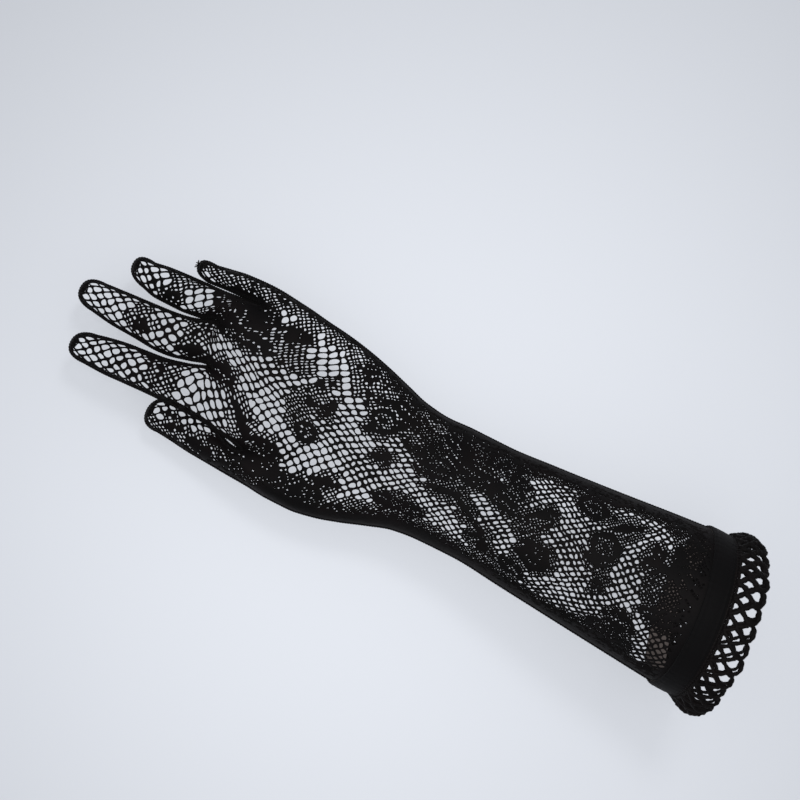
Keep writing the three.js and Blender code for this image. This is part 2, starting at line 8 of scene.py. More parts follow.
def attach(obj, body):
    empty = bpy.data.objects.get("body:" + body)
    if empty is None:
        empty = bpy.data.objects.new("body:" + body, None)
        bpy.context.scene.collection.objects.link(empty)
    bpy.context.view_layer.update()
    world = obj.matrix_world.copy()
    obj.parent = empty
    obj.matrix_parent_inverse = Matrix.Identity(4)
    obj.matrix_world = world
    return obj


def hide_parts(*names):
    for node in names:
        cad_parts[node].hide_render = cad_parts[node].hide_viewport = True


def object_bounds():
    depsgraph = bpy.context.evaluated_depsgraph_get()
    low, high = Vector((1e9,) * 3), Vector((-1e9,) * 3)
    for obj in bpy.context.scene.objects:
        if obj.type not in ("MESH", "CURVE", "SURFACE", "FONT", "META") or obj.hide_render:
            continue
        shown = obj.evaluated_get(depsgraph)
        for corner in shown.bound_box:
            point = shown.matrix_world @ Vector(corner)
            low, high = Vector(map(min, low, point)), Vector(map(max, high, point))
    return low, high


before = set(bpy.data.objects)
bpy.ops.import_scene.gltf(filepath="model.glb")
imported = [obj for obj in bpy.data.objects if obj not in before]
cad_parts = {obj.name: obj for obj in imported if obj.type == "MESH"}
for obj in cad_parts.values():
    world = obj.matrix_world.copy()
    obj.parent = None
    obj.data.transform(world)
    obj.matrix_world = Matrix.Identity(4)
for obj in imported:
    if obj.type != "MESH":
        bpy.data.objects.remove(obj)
CAD_BOX = [list(corner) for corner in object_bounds()]
MM = 0.001

# Sizes and places of the solids, in millimetres, with their shares and counts
WALL = 1.0
RIM_LIFT = 0.5
CROTCH_RADIUS = 1.1
SPACE_FADE_START = 3
SPACE_FADE = 12
ORIGIN_STATION = 1.6
CUFF_SLANT = 0.095
SLANT_END = 130
WARP_START = 140
THUMB_START = 165
THUMB_CROTCH = 218.2
FINGER_START = 221
FINGER_CROTCH = 245
SHARE = np.array([0, 8 / 54, 18 / 54, 30 / 54, 42 / 54, 1])
THUMB = 4
TIP_DROP = 1.0
TIP_BLUNTNESS = 0.65
BAND_START = -3.4
BAND_END = 6.6
BAND_HALF_WIDTH = 37.3
BAND_HALF_HEIGHT = 36.4
BAND_WALL = 1.9
PIECE_GAP = 0.35
REPEATS = 34
EDGING_LENGTH = 13.2
EDGING_HALF_WIDTH = 36.3
EDGING_HALF_HEIGHT = 35.4
FLARE_OUT = 4.0
FLARE_UP = 3.2
FLARE_DOWN = 1.2
FLARE_TURN = 0.8
RUFFLE = 0.9
LONG_RUFFLES = 7
LONG_RUFFLE_SHARE = 0.6
SHORT_RUFFLES = 12
SHORT_RUFFLE_SHARE = 0.4

# The seam's radius, steps and wraps of thread, in millimetres
SEAM_RADIUS = 0.69
SEAM_STEP = 0.2
SEAM_SIDES = 10
SEAM_TIP_STEPS = 40
SEAM_SMOOTHINGS = 3
WRAP_PITCH = 1.25
WRAP_MEAN = 0.94
WRAP_DEPTH = 0.1

# By what share the seam is thicker at tips and crotches, and how far that reaches
TIP_BUNCH = 0.65
TIP_REACH = 3.2
CROTCH_BUNCH = 1.1
CROTCH_REACH = [0, 2.4, 2.4, 2.4, 8]
CROTCH_CLOSE = 0.62
CLOSE_REACH = [0, 15, 11, 4, 15]

# The cut thread ends: each one's way across and up, and its length
THREAD_ENDS = [
    (-0.9, 0.2, 2.6), (-0.5, 0.5, 2.2), (-0.2, -0.3, 2.9), (0.3, 0.3, 2.0), (0.6, -0.2, 2.4),
]
THREAD_ALONG = 0.9
THREAD_CURL_WAY = np.array([0.2, 0.8, 0.5])
THREAD_POINTS = 12
THREAD_RADIUS = 0.42
THREAD_TAPER = 0.45
THREAD_CURL = 0.5
THREAD_SIDES = 6

# The band's steps, ribs and puckers, each pucker as size, count round the arm and start
BAND_STEPS = 420
BAND_SECTION = 44
BAND_SQUARENESS = 5
BAND_INSET = 0.12
INNER_LIMIT = -0.1
BAND_PUCKERS = [(0.10, 70, 0), (0.06, 113, 1)]
BAND_RIB = 0.09
BAND_RIB_PITCH = 1.25

# The edging's loops: how far peaks are off their even place, their knots and their stitches
PEAK_ROUND = 0.13
PEAK_OUT = 0.5
END_KNOT = 0.09
PEAK_KNOT = 0.07
KNOT_DEPTH = 0.18
CHAIN_STITCHES = 4.5
CHAIN_DEPTH = 0.13
LOOP_SIDES = 7

# How much thicker the loops are on the little finger's side, and where that starts
CLOSE_CORDS = 0.4
CLOSE_START = 0.35

# The edging's foundation cords
FOUNDATION_SIDES = 8
FOUNDATION_STEPS = 24
FOUNDATION_STITCHES = 4
FOUNDATION_DEPTH = 0.12

# Tables of the worn form: columns by place along the hand
KNUCKLE_ROW = dict(at=SHARE, x=[236, 238, 251, 244.5, 240, 240])
LITTLE_OUTER = dict(
    at=[0, 20, 50, 80, 104, 122, 134, 146, 158, 170, 182, 194, 206, 218, 236, 250, 258, 266],
    y=[-36.3, -34.6, -31.9, -29.6, -28.1, -28.1, -27.5, -28.8, -32.2, -35.7, -38.6, -40.7,
       -42.1, -43.7, -44.8, -44.7, -43.7, -42.3],
    z=[0, -1.5, -5, -9, -12, -13.5, -14.1, -14.6, -15, -15, -15, -15, -15, -15.2, -15.5, -18,
       -19.2, -20],
)
THUMB_OUTER = dict(
    at=[0, 20, 50, 80, 104, 122, 134, 146, 158, 170, 182, 194, 206, 214, 236, 248, 255],
    y=[36.0, 34.5, 32.1, 29.6, 27.7, 28.1, 29.5, 33.4, 37.8, 41.4, 43.4, 43.6, 42.7, 42.4,
       41.7, 40.6, 40.1],
    z=[0, -1.5, -5, -9, -12, -13.5, -14.2, -14.8, -15.5, -17, -19, -21, -23, -24.4, -26.6,
       -27.3, -27.5],
)
LITTLE_INNER = dict(
    at=[212, 238, 246, 256, 266],
    y=[-32.2, -35.1, -34.4, -33.6, -32.8],
    z=[-14, -16, -18, -19.5, -20.5],
)
RING_LOWER = dict(
    at=[212, 238, 246, 256, 267, 284, 293],
    y=[-32.2, -35.1, -34.4, -33.6, -33.1, -32.1, -30.8],
    z=[-14, -16, -16, -16.2, -16.6, -18.5, -19.5],
)
RING_UPPER = dict(
    at=[212, 251, 262, 272, 284, 293],
    y=[-20, -19.2, -15.5, -14.4, -14.5, -16.4],
    z=[-13, -15.5, -16.3, -17, -18.5, -19.5],
)
MIDDLE_LOWER = dict(
    at=[212, 251, 262, 272, 284, 296, 309],
    y=[-20, -19.2, -15.7, -13.9, -12.9, -12.1, -11.1],
    z=[-13, -15.5, -16, -16.5, -17.4, -18.7, -20],
)
MIDDLE_UPPER = dict(
    at=[212, 244.5, 255, 266, 272, 284, 296, 309],
    y=[2.5, 1.8, 4.6, 7.2, 7.6, 6.9, 6.4, 4.8],
    z=[-13, -15.5, -15.8, -16.2, -16.5, -17.4, -18.7, -20],
)
INDEX_LOWER = dict(
    at=[212, 244.5, 255, 266, 278, 284, 296, 300],
    y=[2.5, 1.8, 4.8, 7.4, 8.7, 9.3, 11.4, 12.4],
    z=[-13, -15.5, -15.8, -16.2, -17, -17.6, -19, -19.5],
)
INDEX_OUTER = dict(
    at=[150, 185, 200, 214, 222, 230, 244, 262, 278, 290, 300],
    y=[25, 30, 30.3, 29.8, 28.0, 26.6, 25.9, 26.2, 27.0, 27.6, 27.4],
    z=[-15, -17, -18.5, -19.8, -18.4, -17.3, -16, -16.2, -17.2, -18.4, -19.5],
)
THUMB_INNER = dict(
    at=[150, 185, 200, 214, 222, 230, 240, 255],
    y=[25, 30, 30.3, 29.8, 29.2, 27.0, 24.6, 23.9],
    z=[-15, -17, -18.5, -19.8, -22.8, -25.5, -26.8, -27.5],
)
WHOLE_HEIGHT = dict(
    at=[0, 30, 60, 85, 104, 122, 140, 160, 185, 214],
    up=[35.4, 33.3, 29.5, 25.4, 22.5, 20.5, 18.5, 16.5, 15, 14],
    down=[35.4, 33.3, 29.5, 25.8, 23, 21, 20, 19, 17.5, 15],
)
PALM_HEIGHT = dict(
    at=[150, 185, 214, 236, 251],
    up=[16, 14.5, 13.5, 12.5, 12],
    down=[18, 16, 14, 12.5, 11.5],
)
DIGITS = [
    dict(low=LITTLE_OUTER, high=LITTLE_INNER, start=266.4, length=7.6, lean=-0.9,
         height=dict(at=[212, 238, 250, 266], h=[9, 8, 7, 6.4])),
    dict(low=RING_LOWER, high=RING_UPPER, start=293, length=8.8, lean=-1.6,
         height=dict(at=[212, 245, 262, 293], h=[10.5, 9.6, 8.5, 7.6])),
    dict(low=MIDDLE_LOWER, high=MIDDLE_UPPER, start=309, length=9.6, lean=-0.4,
         height=dict(at=[212, 248, 265, 309], h=[12, 10.8, 9.2, 7.9])),
    dict(low=INDEX_LOWER, high=INDEX_OUTER, start=300, length=9.6, lean=0.8,
         height=dict(at=[212, 242, 262, 300], h=[12, 10.8, 9.2, 7.9])),
    dict(low=THUMB_INNER, high=THUMB_OUTER, start=255, length=8.8, lean=1.2,
         height=dict(at=[150, 200, 214, 230, 255], h=[16, 12.5, 10.4, 9.2, 8.5])),
]

# How much the fibres change the roughness
FIBRE_ROUGHNESS = 0.1

# The floor's gap under the glove, and the point that the lamps are aimed at, in metres
FLOOR_GAP = 0.0004
LIT_POINT = (0.15, 0.0, 0.0)

# The net's columns at the digits' borders, all its columns and the middle one
EDGES = np.array([0, 12, 28, 48, 68, 88])
COLUMNS = 88
MIDDLE = 44

# Its rows along the hand, and for each digit its first row, its straight rows and its tip's
ROWS = dict(at=[0, 104, 140, 192, 212], row=[6.7, 108, 148, THUMB_CROTCH, FINGER_CROTCH])
BASE = np.array([212, 212, 212, 212, 192])
STRAIGHT = np.array([20, 32, 40, 38, 28])
TIP_ROWS = 8
LAST = BASE + STRAIGHT + TIP_ROWS

# How much denser the columns lie than on the fingers
GATHER = dict(at=[0, 60, 104, 150, 182], k=[1.42, 1.38, 1.24, 1.04, 1.0])

# Half the yarn's width in millimetres, its shares in other nets, and its lift off the middle
YARN = dict(at=[0, 104, 160, 192, 212, 240], half=[0.42, 0.41, 0.38, 0.37, 0.34, 0.30])
FINE_YARN = 0.8
PALM_YARN = 0.78
YARN_LIFT = 0.4
LIFT_NOISE = 0.1
SHOULDER_LIFT = 0.74
BULGE = 0.5

# Rows and columns at which the net ends, is hemmed or solid, or passes from arm to hand
CAP_ROWS = 4
SOLID_ROWS = 2
HEM_ROWS = 5
FIRST_ROW = 1.2
EDGE_SHARE = 0.5
SELVEDGE = 1.3
UNDER_BAND = 4.0
ARM_ROWS = 120
OUTSIDE = 0.17
SPARE_COLUMNS = 20
SPARE_ROWS = 6

# Numbers that make one key of a crossing's sheet, row and column
KEY_SPAN = 400
KEY_ROWS = 20
KEY_COLUMNS = 30

# Small steps and margins in the formulas, and the degrees of a tip that pass for a millimetre
STEP = 0.2
TIP_MARGIN = 0.001
TIP_SHORT = 0.01
TIP_INSIDE = 0.6
NEAR_ZERO = 1e-6
NO_LENGTH = 1e-9
TIP_DEGREES = 9

# Waves of the net and of its holes: each one's size, turns by row and by column, and start
COLUMN_SWAY = [(1.6, 0.075, 0.03, -2.2), (0.35, 0.31, -0.17, 0)]
ROW_SWAY = [(0.9, 0.05, 0.11, 2), (0.3, 0.21, 0.37, 0)]
COLUMN_UNEVEN = [(1, 1.1, 0.8, 1), (1, 0.5, -1.3, 0)]
ROW_UNEVEN = [(1, -0.9, 1.2, 0), (1, 1.4, 0.6, 2)]
HOLE_SIZE = [(0.09, 0.13, 0.19, 0), (0.07, -0.23, 0.11, 1)]
UNEVEN = 0.16

# Sways calm down from a row on, over some rows, to a share of their size
COLUMN_CALM = (150, 40, 0.45)
ROW_CALM = (190, 30, 0.6)

# Rows at which the digits' borders are felt, and the columns of room that a full sway needs
BORDERS_FELT = 168
BORDERS_BLEND = 16
SWAY_ROOM = 5
SHEET_MARGIN = 2

# The place, above the wrist, from which the palm's net lies in line with the back's
ABOVE = np.array([128.3, 30.3, 493.5])

# Limits of the search for that line: turns, longest moves, least slope, crotches and tips
SEARCHES = 7
MOST_COLUMNS = 3
MOST_ROWS = 6
LEAST_SLOPE = 0.35
CROTCH_SLOPE = 1.2
CROTCH_WIDTH = 0.5
TIP_SHARE = 0.4
NO_ROW = 1000.0

# A hole's squareness, sizes and unevenness, as shares of its mesh
SQUARENESS = 2.5
LEAST_HOLE = 0.2
MOST_HOLE = 0.88
FINE_HOLE = 0.82
TINY_HOLE = 0.52
HOLE_NOISE = 0.16
SIDE_NOISE = 0.09
SWING = 0.05
SHIFT = 0.05
SHOULDER = 0.3

# How far the close net reaches in from each side of a panel, in columns
SIDE_NET = dict(
    at=[0, 22, 45, 60, 100, 140, 160, 190, 215, 235, 246],
    low=[19, 17, 18, 18, 18, 16, 13, 10, 8, 7.5, 5],
    high=[76, 75, 71, 73, 70, 67.5, 70.5, 71.5, 74, 82, 86],
)
CLOSER = 3.5
LOW_SOLID = 2.4
HIGH_SOLID = 2

# How often holes are filled or made, as a limit for noise from -1 to 1
PINHOLES = 0.72
HALF_FILLED = -0.05
PIERCED = 0.35
DROPPED = 0.74

# Leaves: halo, ragged edge, veins and the least widths that have them, in millimetres
HALO = 0.7
RAGGED = 0.45
PINHOLE_WIDTH = 1.6
VEIN = 0.6
VEIN_WIDTH = 2.8
SIDE_VEIN = 4.2

# Limits inside the motifs, as shares of the way to a motif's end
VEIN_END = 0.75
SIDE_VEIN_END = 0.5
FINE_RAGGED = 0.08
ROSE_NET = 1.12
ROSE_BROKEN = 0.6
ROSE_RING = (0.68, 0.95)
ROSE_HEART = 0.25
PETALS = 5
PETAL_DEPTH = 0.16
BLOOM_HEART = (0.3, 0.62)

# Motifs in the order they are laid: kind, both ends' places along and across, half the width
MOTIFS = [
    ("faint", 12, 9, 12, 34, 6), ("fine", 13, 14, 13, 19, 3), ("fine", 10.5, 26, 10.5, 33, 3),
    ("leaf", 20, 13, 11, 25, 1.9), ("faint", 28, 17, 18, 17, 5), ("leaf", 4, 41, 21, 37, 7.5),
    ("bloom", 33, 33, 18, 38.5, 6.8), ("fine", 31, 44, 16, 44, 6), ("leaf", 21, 24, 18, 37, 2.6),
    ("leaf", 30, 52.8, 4, 51.4, 2.9), ("leaf", 41, 60.5, 26, 62.5, 4.4),
    ("faint", 45, 68, 23, 72, 4.6), ("leaf", 50.5, 51, 44, 54, 1.9),
    ("rose", 56.4, 38, 44, 38, 6.2), ("leaf", 58, 43.5, 46, 45.5, 1.8),
    ("leaf", 70, 14, 45, 15.5, 4.6), ("rose", 67.5, 22, 53, 25, 5.2),
    ("fine", 55, 28, 46, 24, 1.8), ("leaf", 50, 30, 35, 23, 1.9), ("leaf", 86, 42, 73, 37.5, 4.2),
    ("leaf", 80, 36, 72, 34, 1.8), ("fine", 90, 45, 75, 51, 4.2), ("fine", 83, 43, 77, 40.5, 1.4),
    ("bloom", 82.5, 53.5, 67.5, 57.5, 6.2), ("leaf", 89, 64, 74, 69, 3.6),
    ("leaf", 106, 61.5, 88, 67.5, 3.2), ("faint", 113, 17, 83, 15, 6),
    ("rose", 102, 36, 88.5, 34, 5), ("leaf", 106, 37, 86, 43, 3.4),
    ("leaf", 102, 25, 87, 28, 3.4), ("faint", 149, 27, 112, 31, 10), ("leaf", 125, 31, 98, 35, 7),
    ("leaf", 133, 14, 105, 17, 6.5), ("leaf", 132, 18, 116, 28, 4.6),
    ("faint", 128, 16, 115, 20, 3.6), ("faint", 118, 22, 100, 23.5, 3.2),
    ("leaf", 129, 28.5, 119, 36.5, 3.6), ("leaf", 139, 41, 118, 40, 4.6),
    ("fine", 122, 44.5, 111, 44.5, 3.8), ("leaf", 132, 49.5, 115, 46.5, 2),
    ("leaf", 119, 46, 101, 57.5, 1.9), ("leaf", 105, 54, 92, 67.5, 2),
    ("leaf", 151, 63.5, 124, 65.5, 5.2), ("faint", 141, 63, 130, 65, 3),
    ("fine", 197, 2, 140, 28, 8), ("faint", 188, 1, 134, 24, 6.5), ("faint", 183, 10, 154, 20, 5),
    ("leaf", 180, 11.5, 165, 15, 3.2), ("leaf", 160.5, 15.5, 147, 18, 4),
    ("rose", 166, 25, 152, 27, 6), ("leaf", 156, 27.5, 148, 22.5, 2.2),
    ("leaf", 166, 34.5, 157, 29, 2.3), ("leaf", 158, 46.5, 148.5, 41, 2.7),
    ("fine", 178, 14.5, 160, 14.5, 2.8), ("leaf", 186.5, 40, 180.5, 28, 2.2),
    ("leaf", 198, 36, 187, 33, 1.9), ("fine", 190, 34, 188, 20, 3.6),
    ("fine", 198, 48.5, 196, 29, 4.6), ("rose", 195.6, 50.5, 184.6, 50.5, 5.2),
    ("leaf", 180, 67.5, 164, 66, 1.9), ("fine", 214, 22, 197, 23, 4),
    ("faint", 262, 12, 221, 23, 8.4), ("fine", 266, 5, 240, 7, 4.6),
    ("fine", 230, 18.5, 208, 19.5, 3.4), ("leaf", 226.5, 13.8, 210.5, 13.8, 2.5),
    ("leaf", 242, 22.5, 226, 19, 3.6), ("leaf", 243, 17, 231, 16, 2.2),
    ("leaf", 239, 26.5, 216, 23, 3.9), ("leaf", 251, 26, 235, 24, 2.1),
    ("fine", 246, 5, 237, 5, 4), ("faint", 254, 20, 243, 20, 4.2),
    ("leaf", 263, 12.5, 243, 14.5, 3), ("leaf", 257, 9, 246, 11, 1.4),
    ("fine", 226, 53.5, 213, 57.5, 3.6), ("leaf", 236, 38, 228, 51.5, 1.5),
    ("leaf", 231, 48.5, 213, 62.5, 1.6), ("leaf", 230, 70, 214, 60, 2),
    ("leaf", 217, 60.5, 197, 65.5, 2.4), ("faint", 233, 77, 194, 73, 10.5),
    ("leaf", 229, 72, 197, 73, 5), ("fine", 229, 78, 219, 78, 3),
    ("faint", 198, 74, 170, 72.5, 4.4), ("leaf", 249, 45.5, 230, 46.2, 4),
    ("leaf", 265, 28.2, 236, 29.5, 2.8), ("fine", 281, 16, 269, 18, 2.8),
    ("leaf", 281, 22.5, 269, 24.5, 2), ("leaf", 289, 38.8, 275, 38.2, 0.9),
    ("leaf", 285, 42, 275, 39, 1.9), ("fine", 256, 36, 243, 36, 4),
    ("leaf", 260, 42.4, 244, 44.4, 2.3), ("leaf", 274, 51, 260, 51.4, 2),
    ("fine", 262, 50, 262, 66, 6), ("leaf", 258, 83, 241, 78, 1.1),
    ("leaf", 242, 80, 228, 83, 2.6),
]
OPEN, FINE, TINY, SOLID = 0, 1, 2, 3


def look(table, key, at):
    """Value of one table column between its rows: a cubic through them that never overshoots."""
    x = np.asarray(table["at"], float)
    y = np.asarray(table[key], float)
    at = np.clip(np.asarray(at, float), x[0], x[-1])
    steps = np.diff(y) / np.diff(x)
    before, after = steps[:-1], steps[1:]
    total = before + after
    inner = np.where(before * after > 0, 2 * before * after / np.where(total == 0, 1, total), 0)
    slope = np.concatenate([steps[:1], inner, steps[-1:]])
    i = np.clip(np.searchsorted(x, at, side="left") - 1, 0, len(x) - 2)
    width = x[i + 1] - x[i]
    t = (at - x[i]) / width
    level = (1 + 2 * t) * (1 - t) ** 2 * y[i] + t * t * (3 - 2 * t) * y[i + 1]
    return level + width * t * (1 - t) * ((1 - t) * slope[i] - t * slope[i + 1])


def ease(t):
    """Smooth step: three times t squared less two times t cubed, for t from 0 to 1."""
    u = np.clip(t, 0, 1)
    return u * u * (3 - 2 * u)


def mix(a, b, t):
    """Straight blend: a plus t times the difference to b."""
    return a + (b - a) * t


def once_round(steps):
    """Even angles once round: two pi times the step's number over the count."""
    return 2 * np.pi * np.arange(steps) / steps


def squared(wave, power):
    """A sine or cosine made squarer: its sign times its size to a power under one."""
    return np.sign(wave) * np.abs(wave) ** power


def waves(i, j, table, level=0.0):
    """Level plus sines over the net: size times the sine of turns by row and column and start."""
    for size, by_row, by_column, start in table:
        level = level + size * np.sin(by_row * j + by_column * i + start)
    return level


def along_hand(row, share):
    """Distance along the hand of a row: the row, drawn to the knuckles' slant near the fingers."""
    pull = ease((row - WARP_START) / (FINGER_CROTCH - WARP_START))
    return row + (look(KNUCKLE_ROW, "x", share) - FINGER_CROTCH) * pull


def spread(x, crotch, fade):
    """Half the space between two digits: a quarter circle from their crotch, fading if asked."""
    d = np.clip((x - crotch) / CROTCH_RADIUS, 0, 1)
    left = 1 - fade * ease((x - crotch - SPACE_FADE_START) / SPACE_FADE)
    return CROTCH_RADIUS * np.sqrt(1 - (1 - d) ** 2) * left


def edge_of(digit, high, x):
    """Place across and height of a digit's edge: its table, moved in by half the space."""
    table = DIGITS[digit]["high" if high else "low"]
    border = digit + high
    shift = 0.0
    if border == THUMB:
        shift = spread(x, along_hand(THUMB_CROTCH, SHARE[THUMB]), 1)
    elif 0 < border < THUMB:
        shift = spread(x, along_hand(FINGER_CROTCH, SHARE[border]), 0)
    return look(table, "y", x) + (-shift if high else shift), look(table, "z", x)


def unit(v):
    """Directions of length one: each vector over its own length."""
    return v / np.maximum(np.linalg.norm(v, axis=-1, keepdims=True), NO_LENGTH)


def way_across(angle):
    """Share of the way across at an angle round a half circle: half of one less its cosine."""
    return (1 - np.cos(angle)) / 2


def half_oval(low, high, height, angle):
    """Half an ellipse between two edges: the angle's way across, and a rise by its sine."""
    across = way_across(angle)
    rise = (height - RIM_LIFT) * np.sin(angle)
    return np.stack([mix(low[0], high[0], across), mix(low[1], high[1], across), rise])


def even_oval(low, high, height, share):
    """Half an ellipse in even steps of cloth: the angle is pi times the share, and by how flat
    the oval is, a sine of twice that."""
    half_width = (high[0] - low[0]) / 2
    flatness = (half_width - height) / (half_width + height)
    angle = np.pi * share + 0.5 * flatness * np.sin(2 * np.pi * share)
    return half_oval(low, high, height, angle)


def parted(row, start, end):
    """How far digits have parted from one row to another: at their border one less a quarter
    circle's height, and at their outer edges a smooth step."""
    u = np.clip((row - start) / (end - start), 0, 1)
    return 1 - np.sqrt(1 - u * u), ease(u)


def hand_point(row, digit, place, side):
    """Cloth of arm and hand: one oval round all, blended to the palm's, then to each digit's."""
    key = "up" if side > 0 else "down"
    share = mix(SHARE[digit], SHARE[digit + 1], place)
    x = along_hand(row, share)
    outer_low = edge_of(0, 0, along_hand(row, 0.0))
    outer_high = edge_of(THUMB, 1, along_hand(row, 1.0))
    swell = way_across(np.pi * place)
    whole = even_oval(outer_low, outer_high, look(WHOLE_HEIGHT, key, x), share)
    thumb_border, thumb_edge = parted(row, THUMB_START, THUMB_CROTCH)
    height = look(DIGITS[digit]["height"], "h", x)
    low = edge_of(digit, 0, along_hand(row, SHARE[digit]))
    if digit == THUMB:
        own = half_oval(low, outer_high, height, np.pi * place)
        return x, mix(whole, own, mix(thumb_border, thumb_edge, swell))
    palm_high = edge_of(THUMB - 1, 1, along_hand(row, SHARE[THUMB]))
    palm_share = share / SHARE[THUMB]
    palm = even_oval(outer_low, palm_high, look(PALM_HEIGHT, key, x), palm_share)
    finger_border, finger_edge = parted(row, FINGER_START, FINGER_CROTCH)
    high = edge_of(digit, 1, along_hand(row, SHARE[digit + 1]))
    own = half_oval(low, high, height, np.pi * place)
    low_turn = finger_edge if digit == 0 else finger_border
    high_turn = finger_edge if digit == THUMB - 1 else finger_border
    palm = mix(palm, own, mix(low_turn, high_turn, swell))
    inward = way_across(np.pi * palm_share)
    return x, mix(whole, palm, mix(thumb_edge, thumb_border, inward))


def digit_point(digit, along, tip, place):
    """Cloth of a digit: its half ellipse moved along, then narrowed round a blunt tip."""
    d = DIGITS[digit]
    base = THUMB_CROTCH if digit == THUMB else FINGER_CROTCH
    shares = (SHARE[digit], SHARE[digit + 1], mix(SHARE[digit], SHARE[digit + 1], place))
    x_low, x_high, x = (mix(along_hand(base, share), d["start"], along) for share in shares)
    low, high = edge_of(digit, 0, x_low), edge_of(digit, 1, x_high)
    y, z, rise = half_oval(low, high, look(d["height"], "h", x), np.pi * place)
    turn = np.radians(tip)
    narrow = np.maximum(0, np.cos(turn)) ** TIP_BLUNTNESS
    middle = (low[0] + high[0]) / 2
    y = middle + (y - middle) * narrow + d["lean"] * np.sin(turn)
    return x + d["length"] * np.sin(turn), np.stack([y, z - TIP_DROP * np.sin(turn), rise * narrow])


def slanted(x, y, z):
    """Place in the glove's frame: the cuff leans by its slant times y, fading to the wrist."""
    lean = CUFF_SLANT * y * (1 - ease(x / SLANT_END))
    return np.stack([x - ORIGIN_STATION - lean, y, z], -1)


def net_row(strip, r):
    """Rows of the net as millimetres along the hand, share along a digit and degrees of its tip."""
    base = BASE[strip]
    row = look(ROWS, "row", np.minimum(r, base)) + np.minimum(r, 0)
    along = np.clip((r - base) / STRAIGHT[strip], 0, 1)
    tip = 90 * np.clip((r - base - STRAIGHT[strip]) / TIP_ROWS, 0, 1)
    return row, along, tip


def in_strip(strip, c, r, side):
    """Place of a column and row of one strip: hand_point before the digit starts, then
    digit_point, lifted by the rim and the rise; side 0 gives the line of the seam."""
    place = (c - EDGES[strip]) / (EDGES[strip + 1] - EDGES[strip])
    row, along, tip = net_row(strip, r)
    out = np.empty(c.shape + (3,))
    on_digit = r > BASE[strip]
    for mask, made in (
        (~on_digit, lambda m: hand_point(row[m], strip, place[m], side)),
        (on_digit, lambda m: digit_point(strip, along[m], tip[m], place[m])),
    ):
        if mask.any():
            x, (y, z, rise) = made(mask)
            out[mask] = slanted(x, y, z + side * (RIM_LIFT + rise))
    return out


def cloth(strip, c, r, side):
    """Outer face of a panel: each strip's own formula on the columns and rows that lie in it."""
    out = np.empty(c.shape + (3,))
    for s in range(len(DIGITS)):
        mask = strip == s
        if mask.any():
            out[mask] = in_strip(s, c[mask], r[mask], side)
    return out


def cloth_and_normal(strip, c, r, side):
    """Middle of the cloth's wall and its outward direction, which is the cross product of
    small steps along the row and the column; the middle lies half a wall inside the face."""
    r = np.minimum(r, LAST[strip] - TIP_MARGIN)
    inner = np.minimum(r, LAST[strip] - TIP_INSIDE)
    lo, hi = EDGES[strip].astype(float), EDGES[strip + 1].astype(float)
    forward = cloth(strip, np.clip(c, lo, hi), inner + STEP, side)
    forward = forward - cloth(strip, np.clip(c, lo, hi), inner - STEP, side)
    across = cloth(strip, np.clip(c + STEP, lo, hi), inner, side)
    across = across - cloth(strip, np.clip(c - STEP, lo, hi), inner, side)
    normal = unit(side * np.cross(forward, across))
    return cloth(strip, c, r, side) - 0.5 * WALL * normal, normal


def hash_noise(i, j, kind):
    """A repeatable value from -1 to 1 for each crossing: the fraction of a large sine. Kind is
    a number of its own for each use, so that the uses don't agree."""
    wave = np.sin(12.9898 * i + 78.233 * j + 37.719 * kind) * 43758.5453
    return 2 * (wave - np.floor(wave)) - 1


def sheet_of(strip, j):
    """Which sheet of cloth a crossing lies in: 0 for arm and hand, then one for each digit."""
    return np.where(j > BASE[strip], strip + 1, 0)


def soft_edge(value, low, high):
    """Keeps a value inside its limits; beyond them it only creeps on by a falling exponential."""
    under = np.maximum(low - value, 0)
    over = np.maximum(value - high, 0)
    value = np.clip(value, low, high)
    return value - OUTSIDE * (1 - np.exp(-under)) + OUTSIDE * (1 - np.exp(-over))


def gathered(i, j):
    """Column of a crossing before it sways: spread from the middle column by the gather table."""
    return MIDDLE + (i - MIDDLE) / look(GATHER, "k", j)


def calmed(j, start, length, left):
    """Share of a sway that is left: one, easing to the share left over a length of rows."""
    return mix(1, left, ease((j - start) / length))


def strip_of(c, sheet, most=THUMB):
    """Strip that a column lies in: a digit's own on its sheet, otherwise the one at the column,
    up to the highest that its row still has."""
    strip = np.clip(np.searchsorted(EDGES, c, side="left") - 1, 0, most)
    return np.where(sheet > 0, sheet - 1, strip)


def chart_place(i, j, sheet, side):
    """Column and row of a crossing on the panel: the gathered net, swayed by slow and quick
    sines that die out at the borders, then kept inside its sheet. The palm's net is moved to
    lie in line with the back's."""
    c = gathered(i, j)
    outer = np.minimum(c, COLUMNS - c)
    nearest = np.min(np.abs(c[..., None] - EDGES), axis=-1)
    free = ease(mix(outer, nearest, ease((j - BORDERS_FELT) / BORDERS_BLEND)) / SWAY_ROOM)
    uneven_c, uneven_r = UNEVEN * waves(i, j, COLUMN_UNEVEN), UNEVEN * waves(i, j, ROW_UNEVEN)
    c = c + free * (uneven_c + waves(i, j, COLUMN_SWAY) * calmed(j, *COLUMN_CALM))
    r = j + free * (uneven_r + waves(i, j, ROW_SWAY) * calmed(j, *ROW_CALM))
    past_thumb = j > BASE[THUMB]
    low = np.where(sheet > 0, EDGES[np.maximum(sheet - 1, 0)], 0)
    high = np.where(sheet > 0, EDGES[sheet], np.where(past_thumb, EDGES[THUMB], COLUMNS))
    c = np.clip(c, low - SHEET_MARGIN, high + SHEET_MARGIN)
    if side < 0:
        c, r = in_line(c, r, sheet, low, high)
    strip = strip_of(c, sheet, np.where(past_thumb, THUMB - 1, THUMB))
    return soft_edge(c, low, high), np.maximum(r, -UNDER_BAND), strip


